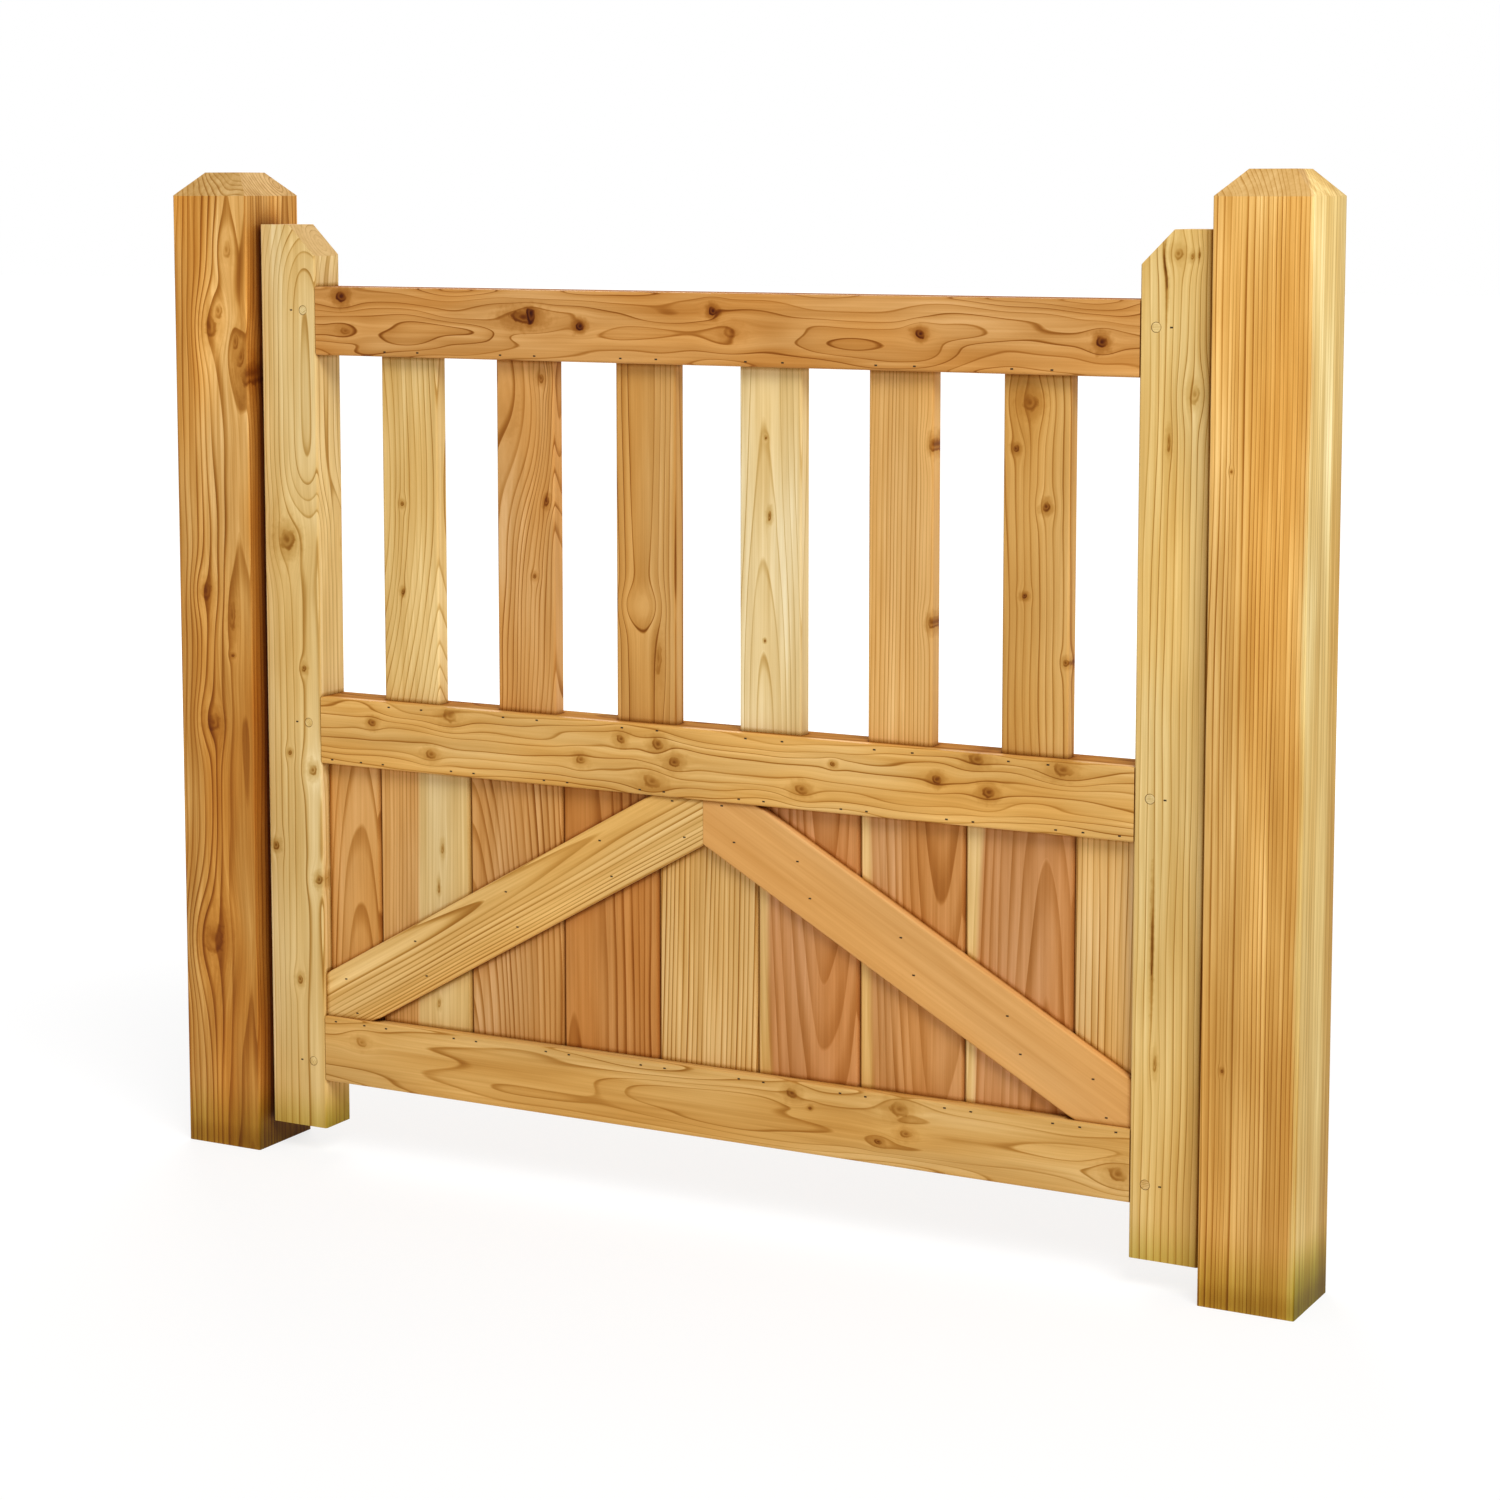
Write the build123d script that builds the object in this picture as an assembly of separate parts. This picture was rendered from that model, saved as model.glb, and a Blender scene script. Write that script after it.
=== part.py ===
from build123d import *

import math
import os

# Garden gate: a framed leaf with pickets above and boards below, hung between two posts.
# Millimetres. X runs along the gate, -Y is the side with the braces, Z is up from the post feet.

# Posts
post_size = 95.0
post_height = 1060.0
post_top_bevel = 25.0
post_arris = 2.0

# Leaf frame, from the foot of the stiles upwards
leaf_setback = 18.0
leaf_clearance = 30.0
inner_width = 928.0
stile_width = 70.0
rail_height = 72.0
frame_thickness = 45.0
horn_below = 53.0
panel_height = 276.0
picket_opening = 365.0
horn_above = 65.0
stile_corner_cut = 33.0
arris = 2.5

# Joinery of the frame
groove_front = 14.0
groove_depth = 12.0
tenon_cover = 25.0
joint_clearance = 0.1
peg_diameter = 10.0
peg_inset = 16.0
peg_rise_top = 11.0
peg_rise_middle = 7.0
peg_drop_bottom = 16.0

# Pickets
picket_count = 6
picket_width = 69.0
picket_tenon = 15.0

# Boards of the lower panel, and the pickets, share one thickness
board_thickness = 18.0
board_cover = 114.0
least_end_board = 40.0
board_gap = 0.6
board_vee = 3.0
tongue_thickness = 6.0
tongue_length = 6.0
end_play = 1.5

# Braces
brace_width = 70.0
brace_thickness = 10.0
brace_heel = 6.0

# Brads: flat heads on thin shanks, driven just below the surface
pin_head_width = 3.0
pin_head_height = 1.6
pin_head_depth = 1.2
pin_shank = 1.4
pin_sink = 0.5
pin_bite = 13.0
pin_edge = 5.0
pin_side = 14.0
brace_pin_row = 18.0
tenon_pin_side = 15.0

# Butt hinges in the gap, knuckles behind the leaf
hinge_length = 100.0
hinge_leaf_width = 38.0
hinge_thickness = 2.5
hinge_play = 1.0
hinge_end_inset = 185.0
knuckle_radius = 6.0
knuckle_count = 5
knuckle_gap = 0.3
knuckle_room = 0.5
hinge_pin_radius = 3.5
running_clearance = 0.06
hinge_pin_cap = 2.0
hinge_pin_cap_radius = 5.0
hinge_screw_count = 4
hinge_screw_rise = 24.0
hinge_screw_stagger = 7.0

# Countersunk screws
screw_head_radius = 4.2
screw_shank_radius = 2.2
screw_head_depth = 2.0
screw_tip = 4.0
screw_point_radius = 0.3
screw_clearance = 0.05
screw_slot_width = 0.9
screw_slot_length = 4.6
screw_slot_depth = 1.0
hinge_screw_length = 22.0
bolt_screw_length = 12.0

# Sliding bolt on the back of the leaf
bolt_radius = 6.0
bolt_throw = 30.0
bolt_tip_inset = 2.0
bolt_tip_chamfer = 1.5
bolt_plate_length = 120.0
bolt_plate_height = 44.0
bolt_plate_thickness = 2.5
bolt_plate_inset = 8.0
bolt_plate_corner = 4.0
bolt_standoff = 2.0
bolt_tail = 4.0
guide_width = 14.0
guide_wall = 2.5
guide_inset = 5.0
guide_spacing = 62.0
knob_stem_radius = 4.0
knob_stem_length = 6.0
knob_radius = 7.0
knob_length = 8.0
knob_round = 2.5
knob_room = 0.5
bolt_plate_screw_inset = 8.0
keep_thickness = 2.0
keep_width = 32.0
keep_height = 66.0
keep_hole_room = 0.8
keep_screw_spacing = 44.0
keep_bore_room = 8.0

# Places worked out from the sizes above
leaf_gap = 2 * hinge_thickness + hinge_play
x_inner = inner_width / 2
x_outer = x_inner + stile_width
x_post = x_outer + leaf_gap
y_front = leaf_setback - post_size / 2
y_back = y_front + frame_thickness
y_panel = y_front + groove_front
y_panel_back = y_panel + board_thickness
z_stile_foot = leaf_clearance
z_bottom_rail = z_stile_foot + horn_below
z_panel_foot = z_bottom_rail + rail_height
z_panel_head = z_panel_foot + panel_height
z_picket_foot = z_panel_head + rail_height
z_picket_head = z_picket_foot + picket_opening
z_top_rail_head = z_picket_head + rail_height
z_stile_head = z_top_rail_head + horn_above
tenon_length = stile_width - tenon_cover

# Each rail by name: its lower edge, and the height of its peg above its middle
rails = {
    "bottom": (z_bottom_rail, -peg_drop_bottom),
    "middle": (z_panel_head, peg_rise_middle),
    "top": (z_picket_head, peg_rise_top),
}


# A box between two limits along each axis
def block(x_limits, y_limits, z_limits):
    low = Vector(min(x_limits), min(y_limits), min(z_limits))
    high = Vector(max(x_limits), max(y_limits), max(z_limits))
    size = high - low
    return Pos(*((low + high) * 0.5)) * Box(size.X, size.Y, size.Z)


# A planed bar standing on the origin, with its four long edges eased
def planed_bar(width, thickness, length, ease):
    section = fillet(Rectangle(width, thickness).vertices(), ease)
    return extrude(section, amount=length)


# A round rod from a point, along one axis
def rod_x(x_start, x_end, y, z, radius):
    middle = Pos((x_start + x_end) / 2, y, z)
    return middle * Rot(0, 90, 0) * Cylinder(radius, abs(x_end - x_start))


def rod_y(x, y_start, y_end, z, radius):
    middle = Pos(x, (y_start + y_end) / 2, z)
    return middle * Rot(90, 0, 0) * Cylinder(radius, abs(y_end - y_start))


# A rail's peg, through the stile and the tenon
def peg_place(side, rail):
    foot, rise = rails[rail]
    return side * (x_inner + peg_inset), foot + rail_height / 2 + rise


def peg(side, rail, clearance):
    x, z = peg_place(side, rail)
    return rod_y(x, y_front, y_back, z, peg_diameter / 2 + clearance)


# A brad seen from the front: its head lies flat, its shank points away from the viewer.
# With room for its pit, the same form cuts its hole.
def brad(x, y_surface, z, bite_end, pit):
    head_start = y_surface + pin_sink
    head_end = head_start + pin_head_depth
    if pit:
        head_start = y_surface - pin_sink
    head_x = (x - pin_head_width / 2, x + pin_head_width / 2)
    head_z = (z - pin_head_height / 2, z + pin_head_height / 2)
    shank_x = (x - pin_shank / 2, x + pin_shank / 2)
    shank_z = (z - pin_shank / 2, z + pin_shank / 2)
    head = block(head_x, (head_start, head_end), head_z)
    shank = block(shank_x, (head_end - pin_head_depth / 2, bite_end), shank_z)
    return head + shank


def brads(places, y_surface, pit):
    return [brad(x, y_surface, z, y_panel + pin_bite, pit) for x, z in places]


# A countersunk screw with its head on the origin and its point along -Z
def screw(length):
    head = Pos(0, 0, -screw_head_depth / 2) * Cone(
        screw_shank_radius, screw_head_radius, screw_head_depth)
    shank_length = length - screw_tip
    shank = Pos(0, 0, -shank_length / 2) * Cylinder(screw_shank_radius, shank_length)
    tip = Pos(0, 0, -shank_length - screw_tip / 2) * Cone(
        screw_point_radius, screw_shank_radius, screw_tip)
    slot = Pos(0, 0, -screw_slot_depth / 2) * Box(screw_slot_length, screw_slot_width, screw_slot_depth)
    return head + shank + tip - slot - Rot(0, 0, 90) * slot


# The hole for such a screw, countersunk, open at its mouth
def screw_hole(length):
    head_radius = screw_head_radius + screw_clearance
    shank_radius = screw_shank_radius + screw_clearance
    sink = Pos(0, 0, -screw_head_depth / 2) * Cone(shank_radius, head_radius, screw_head_depth)
    shank_length = length + screw_clearance
    shank = Pos(0, 0, -shank_length / 2) * Cylinder(shank_radius, shank_length)
    return sink + shank


# Square post with a four-sided bevelled top, standing on its foot
def plain_post(side):
    body = planed_bar(post_size, post_size, post_height, post_arris)
    straight = post_height - post_top_bevel
    lower = extrude(Rectangle(post_size, post_size), amount=straight)
    cap = Pos(0, 0, straight) * extrude(
        Rectangle(post_size, post_size), amount=post_top_bevel, taper=45)
    return Pos(side * (x_post + post_size / 2), 0, 0) * (body & (lower + cap))


# One brad beside each peg, through the front of the stile into the tenon
tenon_pins = []
for side in (-1, 1):
    for rail in rails:
        x_peg, z_peg = peg_place(side, rail)
        tenon_pins.append((x_peg + side * tenon_pin_side, z_peg))


# Stile: mortises for three tenons, a groove for the boards and a cut inner top corner
def stile(side):
    body = Pos(side * (x_inner + stile_width / 2), (y_front + y_back) / 2, z_stile_foot) * planed_bar(
        stile_width, frame_thickness, z_stile_head - z_stile_foot, arris)
    y_slot = (y_panel - joint_clearance, y_panel_back + joint_clearance)
    cuts = []
    for rail in rails:
        foot = rails[rail][0]
        x_mortise = (side * x_inner, side * (x_inner + tenon_length + joint_clearance))
        z_low = foot + groove_depth - joint_clearance
        z_high = foot + rail_height - groove_depth + joint_clearance
        cuts.append(block(x_mortise, y_slot, (z_low, z_high)))
        cuts.append(peg(side, rail, joint_clearance / 2))
    x_groove = (side * x_inner, side * (x_inner + groove_depth))
    z_groove = (z_panel_foot - groove_depth, z_panel_head + groove_depth)
    cuts.append(block(x_groove, y_slot, z_groove))
    corner = Polygon(
        (side * x_inner, z_stile_head - stile_corner_cut),
        (side * (x_inner + stile_corner_cut), z_stile_head),
        (side * x_inner, z_stile_head),
        align=None)
    cuts.append(extrude(Plane.XZ * corner, amount=frame_thickness, both=True))
    return body - cuts - brads([place for place in tenon_pins if place[0] * side > 0], y_front, True)


# Rail with a stub tenon at each end, before its own grooves and mortises
def tenoned_rail(rail):
    foot = rails[rail][0]
    bar = Pos(-x_inner, (y_front + y_back) / 2, foot + rail_height / 2) * Rot(0, 90, 0) * planed_bar(
        rail_height, frame_thickness, inner_width, arris)
    z_tenon = (foot + groove_depth, foot + rail_height - groove_depth)
    reach = x_inner + tenon_length
    tenon = block((-reach, reach), (y_panel, y_panel_back), z_tenon)
    holes = [peg(side, rail, joint_clearance / 2) for side in (-1, 1)]
    in_rail = [place for place in tenon_pins if foot < place[1] < foot + rail_height]
    return bar + tenon - holes - brads(in_rail, y_front, True)


# The continuous groove that holds the ends of the boards
def board_groove(z_limits):
    y_slot = (y_panel - joint_clearance, y_panel_back + joint_clearance)
    return block((-x_inner, x_inner), y_slot, z_limits)


picket_gap = (inner_width - picket_count * picket_width) / (picket_count + 1)
picket_pitch = picket_width + picket_gap
picket_middles = [
    -x_inner + picket_gap + picket_width / 2 + number * picket_pitch for number in range(picket_count)]


# A mortise in a rail for each picket's end
def picket_mortises(z_limits):
    half = picket_width / 2 + joint_clearance
    y_slot = (y_panel - joint_clearance, y_panel_back + joint_clearance)
    return [block((middle - half, middle + half), y_slot, z_limits) for middle in picket_middles]


# Board edges across the panel: as many full boards as fit, the two end boards ripped to match
full_boards = int((inner_width - 2 * least_end_board) // board_cover)
board_edges = [(number - full_boards / 2) * board_cover for number in range(full_boards + 1)]
board_spans = list(zip([-x_inner] + board_edges, board_edges + [x_inner]))


# Two brads to each picket and board, through the front lip of the rail
def picket_pin_places(z):
    half = picket_width / 2 - pin_side
    return [(middle + turn * half, z) for middle in picket_middles for turn in (-1, 1)]


def board_pin_places(z):
    places = []
    for low, high in board_spans:
        places += [(low + pin_side, z), (high - pin_side, z)]
    return places


z_top_pins = z_picket_head + pin_edge
z_middle_upper_pins = z_picket_foot - pin_edge
z_middle_lower_pins = z_panel_head + pin_edge
z_bottom_pins = z_panel_foot - pin_edge
picket_pins = picket_pin_places(z_top_pins) + picket_pin_places(z_middle_upper_pins)
board_pins = board_pin_places(z_middle_lower_pins) + board_pin_places(z_bottom_pins)

# Braces: a bar laid from the lower corner to the middle of the panel head, cut by the half panel
brace_rise = panel_height - 2 * brace_heel
brace_angle = math.degrees(math.atan2(brace_rise, x_inner))
brace_front = y_panel - brace_thickness


def brace_middle_height(x):
    return z_panel_foot + brace_heel + (x_inner - abs(x)) / x_inner * brace_rise


# Brads where a brace crosses the middle of each board, one above and one below its middle line
brace_pins = []
for low, high in board_spans:
    for part_low, part_high in ((max(low, -x_inner), min(high, 0)), (max(low, 0), min(high, x_inner))):
        if part_high > part_low:
            x_pin = (part_low + part_high) / 2
            z_pin = brace_middle_height(x_pin)
            brace_pins += [(x_pin - pin_side / 2, z_pin + brace_pin_row)]
            brace_pins += [(x_pin + pin_side / 2, z_pin - brace_pin_row)]


def brace(side):
    length = 2 * math.hypot(x_inner, brace_rise)
    bar = planed_bar(brace_width, 2 * brace_thickness, length, arris)
    bar = Rot(0, 90, 0) * Pos(0, brace_thickness, -length / 2) * bar
    angle = side * brace_angle
    middle = Pos(side * x_inner / 2, brace_front, (z_panel_foot + z_panel_head) / 2)
    half_panel = block(
        (side * joint_clearance, side * (x_inner - joint_clearance)),
        (brace_front, y_panel),
        (z_panel_foot, z_panel_head - joint_clearance))
    holes = brads([place for place in brace_pins if place[0] * side > 0], brace_front, True)
    return (middle * Rot(0, angle, 0) * bar & half_panel) - holes


# Pickets stand in the rails' mortises
def picket(middle):
    length = picket_opening + 2 * picket_tenon - joint_clearance
    bar = Pos(middle, (y_panel + y_panel_back) / 2, z_picket_foot - picket_tenon) * planed_bar(
        picket_width, board_thickness, length, arris)
    places = [place for place in picket_pins if abs(place[0] - middle) < picket_width / 2]
    return bar - brads(places, y_front, True)


# Board with a V joint: a tongue on its right edge and a groove on its left, where it has a neighbour
def board(number):
    low, high = board_spans[number]
    has_left = number > 0
    has_right = number < len(board_spans) - 1
    left = low + board_gap / 2 if has_left else low - groove_depth + end_play
    right = high - board_gap / 2 if has_right else high + groove_depth - end_play
    middle_y = (y_panel + y_panel_back) / 2
    outline = []
    if has_left:
        outline += [(left, y_panel + board_vee), (left + board_vee, y_panel)]
    else:
        outline += [(left, y_panel)]
    if has_right:
        outline += [(right - board_vee, y_panel), (right, y_panel + board_vee)]
    else:
        outline += [(right, y_panel)]
    outline += [(right, y_panel_back), (left, y_panel_back)]
    foot = z_panel_foot - groove_depth
    length = panel_height + 2 * groove_depth - end_play
    solid = Pos(0, 0, foot) * extrude(Polygon(*outline, align=None), amount=length)
    if has_right:
        tongue_y = (middle_y - tongue_thickness / 2, middle_y + tongue_thickness / 2)
        solid += block((right, high + tongue_length), tongue_y, (foot, foot + length))
    if has_left:
        half_slot = tongue_thickness / 2 + joint_clearance
        slot_end = low + tongue_length + board_gap
        slot_z = (foot, foot + length)
        solid -= block((left, slot_end), (middle_y - half_slot, middle_y + half_slot), slot_z)
    places = [place for place in board_pins if low < place[0] < high]
    over_brace = [place for place in brace_pins if low < place[0] < high]
    return solid - brads(places, y_front, True) - brads(over_brace, brace_front, True)


# Hinges: the pin stands behind the leaf, beside the hinge post
x_hinge = -x_post + knuckle_radius + knuckle_room
y_hinge = y_back + knuckle_radius + knuckle_room
hinge_feet = {
    "upper": z_stile_head - hinge_end_inset - hinge_length / 2,
    "lower": z_stile_foot + hinge_end_inset - hinge_length / 2,
}
knuckle_length = hinge_length / knuckle_count


# Where a hinge's screws stand: a staggered row along the flat of its leaf
def hinge_screw_places(foot):
    flat_end = y_hinge - knuckle_radius - knuckle_room
    flat_middle = (flat_end + y_hinge - hinge_leaf_width) / 2
    places = []
    for number in range(hinge_screw_count):
        stagger = hinge_screw_stagger * (-1) ** number
        rise = (number - (hinge_screw_count - 1) / 2) * hinge_screw_rise
        places.append((flat_middle + stagger, foot + hinge_length / 2 + rise))
    return places


# One hinge leaf: a plate with knuckles rolled on every second place along the pin
def hinge_leaf(foot, x_limits, first_knuckle, screw_places):
    flat_end = y_hinge - knuckle_radius - knuckle_room
    plate = block(x_limits, (y_hinge - hinge_leaf_width, flat_end), (foot, foot + hinge_length))
    barrel_holes = []
    for number in range(first_knuckle, knuckle_count, 2):
        low = foot + number * knuckle_length + (knuckle_gap / 2 if number > 0 else 0)
        high = foot + (number + 1) * knuckle_length
        high -= knuckle_gap / 2 if number < knuckle_count - 1 else 0
        seat = Pos(x_hinge, y_hinge, (low + high) / 2)
        plate += block(x_limits, (flat_end, y_hinge), (low, high))
        plate += seat * Cylinder(knuckle_radius, high - low)
        barrel_holes.append(seat * Cylinder(hinge_pin_radius + running_clearance, high - low))
    return plate - barrel_holes - [place * screw_hole(hinge_screw_length) for place in screw_places]


def hinge_pin(foot):
    shaft = Pos(x_hinge, y_hinge, foot + hinge_length / 2) * Cylinder(hinge_pin_radius, hinge_length)
    for z in (foot - hinge_pin_cap / 2, foot + hinge_length + hinge_pin_cap / 2):
        shaft += Pos(x_hinge, y_hinge, z) * Cylinder(hinge_pin_cap_radius, hinge_pin_cap)
    return shaft


x_post_leaf = (-x_post, -x_post + hinge_thickness)
x_gate_leaf = (-x_outer - hinge_thickness, -x_outer)
post_screw_places = []
gate_screw_places = []
for foot in hinge_feet.values():
    for y, z in hinge_screw_places(foot):
        post_screw_places.append(Pos(x_post_leaf[1], y, z) * Rot(0, 90, 0))
        gate_screw_places.append(Pos(x_gate_leaf[0], y, z) * Rot(0, -90, 0))

# Sliding bolt: its bar lies along the middle rail, just clear of its plate
z_bolt = z_panel_head + rail_height / 2
y_bolt_plate = y_back + bolt_plate_thickness
y_bolt = y_bolt_plate + bolt_standoff + bolt_radius
x_plate_end = x_outer - bolt_plate_inset
x_plate_start = x_plate_end - bolt_plate_length
x_bolt_tip = x_outer - bolt_tip_inset
x_bolt_tail = x_plate_start + bolt_tail
x_outer_guide = x_plate_end - guide_inset - guide_width / 2
x_inner_guide = x_outer_guide - guide_spacing
x_knob = x_inner_guide + guide_width / 2 + knob_stem_radius + knob_room
keep_bore_depth = bolt_throw - bolt_tip_inset - leaf_gap + keep_bore_room
bolt_screw_places = []
for x in (x_plate_start + bolt_plate_screw_inset, x_plate_end - bolt_plate_screw_inset):
    for turn in (-1, 1):
        z = z_bolt + turn * (bolt_plate_height / 2 - bolt_plate_screw_inset)
        bolt_screw_places.append(Pos(x, y_bolt_plate, z) * Rot(-90, 0, 0))
keep_screw_places = []
for turn in (-1, 1):
    z = z_bolt + turn * keep_screw_spacing / 2
    keep_screw_places.append(Pos(x_post - keep_thickness, y_bolt, z) * Rot(0, -90, 0))


# Plate with two guides: each a round-topped block with a hole for the bar
def bolt_plate():
    face = fillet(Rectangle(bolt_plate_length, bolt_plate_height).vertices(), bolt_plate_corner)
    plate = Pos((x_plate_start + x_plate_end) / 2, y_bolt_plate, z_bolt) * Rot(90, 0, 0) * extrude(
        face, amount=bolt_plate_thickness)
    guide_radius = bolt_radius + running_clearance + guide_wall
    for x in (x_inner_guide, x_outer_guide):
        x_limits = (x - guide_width / 2, x + guide_width / 2)
        plate += rod_x(*x_limits, y_bolt, z_bolt, guide_radius)
        plate += block(x_limits, (y_bolt_plate, y_bolt), (z_bolt - guide_radius, z_bolt + guide_radius))
    bar_room = rod_x(x_plate_start, x_plate_end, y_bolt, z_bolt, bolt_radius + running_clearance)
    return plate - bar_room - [place * screw_hole(bolt_screw_length) for place in bolt_screw_places]


# Bar with a chamfered nose and a turned knob on its stem
def bolt_bar():
    bar = Rot(0, 90, 0) * Cylinder(bolt_radius, x_bolt_tip - x_bolt_tail)
    bar = chamfer(bar.edges().group_by(Axis.X)[-1], bolt_tip_chamfer)
    bar = Pos((x_bolt_tail + x_bolt_tip) / 2, y_bolt, z_bolt) * bar
    y_knob = y_bolt + bolt_radius + knob_stem_length
    stem = rod_y(x_knob, y_bolt, y_knob, z_bolt, knob_stem_radius)
    knob = Cylinder(knob_radius, knob_length)
    knob = fillet(knob.edges().filter_by(GeomType.CIRCLE), knob_round)
    knob = Pos(x_knob, y_knob + knob_length / 2, z_bolt) * Rot(90, 0, 0) * knob
    return bar + stem + knob


def bolt_keep():
    plate = block(
        (x_post - keep_thickness, x_post),
        (y_bolt - keep_width / 2, y_bolt + keep_width / 2),
        (z_bolt - keep_height / 2, z_bolt + keep_height / 2))
    hole = rod_x(x_post - keep_thickness, x_post, y_bolt, z_bolt, bolt_radius + keep_hole_room)
    return plate - hole - [place * screw_hole(bolt_screw_length) for place in keep_screw_places]


nodes = {}

# Posts, with the holes for their ironwork
nodes["hinge_post"] = plain_post(-1) - [place * screw_hole(hinge_screw_length) for place in post_screw_places]
bolt_bore = rod_x(x_post, x_post + keep_bore_depth, y_bolt, z_bolt, bolt_radius + keep_hole_room)
nodes["latch_post"] = plain_post(1) - bolt_bore - [
    place * screw_hole(bolt_screw_length) for place in keep_screw_places]

# Leaf frame
bolt_holes = [place * screw_hole(bolt_screw_length) for place in bolt_screw_places]
nodes["hanging_stile"] = stile(-1) - [place * screw_hole(hinge_screw_length) for place in gate_screw_places]
nodes["closing_stile"] = stile(1) - bolt_holes
top_mortises = picket_mortises((z_picket_head, z_picket_head + picket_tenon))
middle_mortises = picket_mortises((z_picket_foot - picket_tenon, z_picket_foot))
head_groove = board_groove((z_panel_head, z_panel_head + groove_depth))
foot_groove = board_groove((z_panel_foot - groove_depth, z_panel_foot))
nodes["top_rail"] = tenoned_rail("top") - top_mortises - brads(
    picket_pin_places(z_top_pins), y_front, True)
nodes["middle_rail"] = tenoned_rail("middle") - middle_mortises - head_groove - bolt_holes - brads(
    picket_pin_places(z_middle_upper_pins) + board_pin_places(z_middle_lower_pins), y_front, True)
nodes["bottom_rail"] = tenoned_rail("bottom") - foot_groove - brads(
    board_pin_places(z_bottom_pins), y_front, True)

# Infill of the leaf
for number, middle in enumerate(picket_middles):
    nodes[f"picket_{number + 1}"] = picket(middle)
for number in range(len(board_spans)):
    nodes[f"board_{number + 1}"] = board(number)
nodes["brace_left"] = brace(-1)
nodes["brace_right"] = brace(1)

# Wooden pegs and steel brads
nodes["tenon_pegs"] = [peg(side, rail, 0) for side in (-1, 1) for rail in rails]
nodes["tenon_pins"] = brads(tenon_pins, y_front, False)
nodes["picket_pins"] = brads(picket_pins, y_front, False)
nodes["board_pins"] = brads(board_pins, y_front, False)
nodes["brace_pins"] = brads(brace_pins, brace_front, False)

# Hinges and their screws
for name, foot in hinge_feet.items():
    nodes[f"{name}_hinge_post_leaf"] = hinge_leaf(foot, x_post_leaf, 0, post_screw_places)
    nodes[f"{name}_hinge_gate_leaf"] = hinge_leaf(foot, x_gate_leaf, 1, gate_screw_places)
    nodes[f"{name}_hinge_pin"] = hinge_pin(foot)
nodes["hinge_post_screws"] = [place * screw(hinge_screw_length) for place in post_screw_places]
nodes["hinge_gate_screws"] = [place * screw(hinge_screw_length) for place in gate_screw_places]

# Bolt, keep and their screws
nodes["bolt_plate"] = bolt_plate()
nodes["bolt_bar"] = bolt_bar()
nodes["bolt_keep"] = bolt_keep()
nodes["bolt_plate_screws"] = [place * screw(bolt_screw_length) for place in bolt_screw_places]
nodes["bolt_keep_screws"] = [place * screw(bolt_screw_length) for place in keep_screw_places]

os.makedirs("parts", exist_ok=True)
for name, shape in nodes.items():
    if isinstance(shape, list):
        shape = Compound(children=[Solid(piece.solid().wrapped) for piece in shape])
    export_step(shape, f"parts/{name}.step")
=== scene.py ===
import math

import bpy
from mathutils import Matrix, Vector


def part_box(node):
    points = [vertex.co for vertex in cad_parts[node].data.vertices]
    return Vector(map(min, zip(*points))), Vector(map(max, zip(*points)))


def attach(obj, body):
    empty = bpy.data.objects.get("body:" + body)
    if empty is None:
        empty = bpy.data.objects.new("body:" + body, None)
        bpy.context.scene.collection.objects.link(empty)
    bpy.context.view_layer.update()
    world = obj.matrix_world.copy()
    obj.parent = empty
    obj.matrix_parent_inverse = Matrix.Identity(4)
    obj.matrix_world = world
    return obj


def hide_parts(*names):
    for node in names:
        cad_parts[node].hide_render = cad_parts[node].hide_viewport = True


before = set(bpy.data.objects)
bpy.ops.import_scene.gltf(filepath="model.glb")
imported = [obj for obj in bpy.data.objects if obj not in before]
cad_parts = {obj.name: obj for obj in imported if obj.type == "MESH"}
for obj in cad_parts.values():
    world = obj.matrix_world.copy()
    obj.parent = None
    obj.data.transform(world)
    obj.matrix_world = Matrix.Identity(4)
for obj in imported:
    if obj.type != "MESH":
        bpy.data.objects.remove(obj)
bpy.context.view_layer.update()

# Posts: two square posts of planed larch, 95 mm a side, tops bevelled on all four sides.
# They stand in the ground and carry the leaf between them; the timber is oiled, not painted.
MM = 0.001
MATH = "ShaderNodeMath"
VECTOR = "ShaderNodeVectorMath"
RANGE = "ShaderNodeMapRange"
SMOOTH = {"interpolation_type": "SMOOTHSTEP"}


def linear(code):
    """An sRGB hex colour as linear red, green, blue and alpha."""
    shares = [int(code[place:place + 2], 16) / 255 for place in (1, 3, 5)]
    return tuple(s / 12.92 if s <= 0.04045 else ((s + 0.055) / 1.055) ** 2.4 for s in shares) + (1.0,)


def node(tree, kind, inputs=(), **settings):
    """Adds one node. Its inputs are listed in the order it shows them, or given by name.

    Each is a value, a socket, or a node whose first output in use is linked; a list links several.
    """
    made = tree.nodes.new(kind)
    for name, value in settings.items():
        setattr(made, name, value)
    if isinstance(inputs, dict):
        sockets = [made.inputs[name] for name in inputs]
        inputs = inputs.values()
    else:
        sockets = [socket for socket in made.inputs if socket.enabled]
    for socket, value in zip(sockets, inputs):
        for one in value if isinstance(value, list) else [value]:
            if isinstance(one, bpy.types.Node):
                one = next(output for output in one.outputs if output.enabled)
            if isinstance(one, bpy.types.NodeSocket):
                tree.links.new(one, socket)
            else:
                socket.default_value = one
    return made


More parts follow.
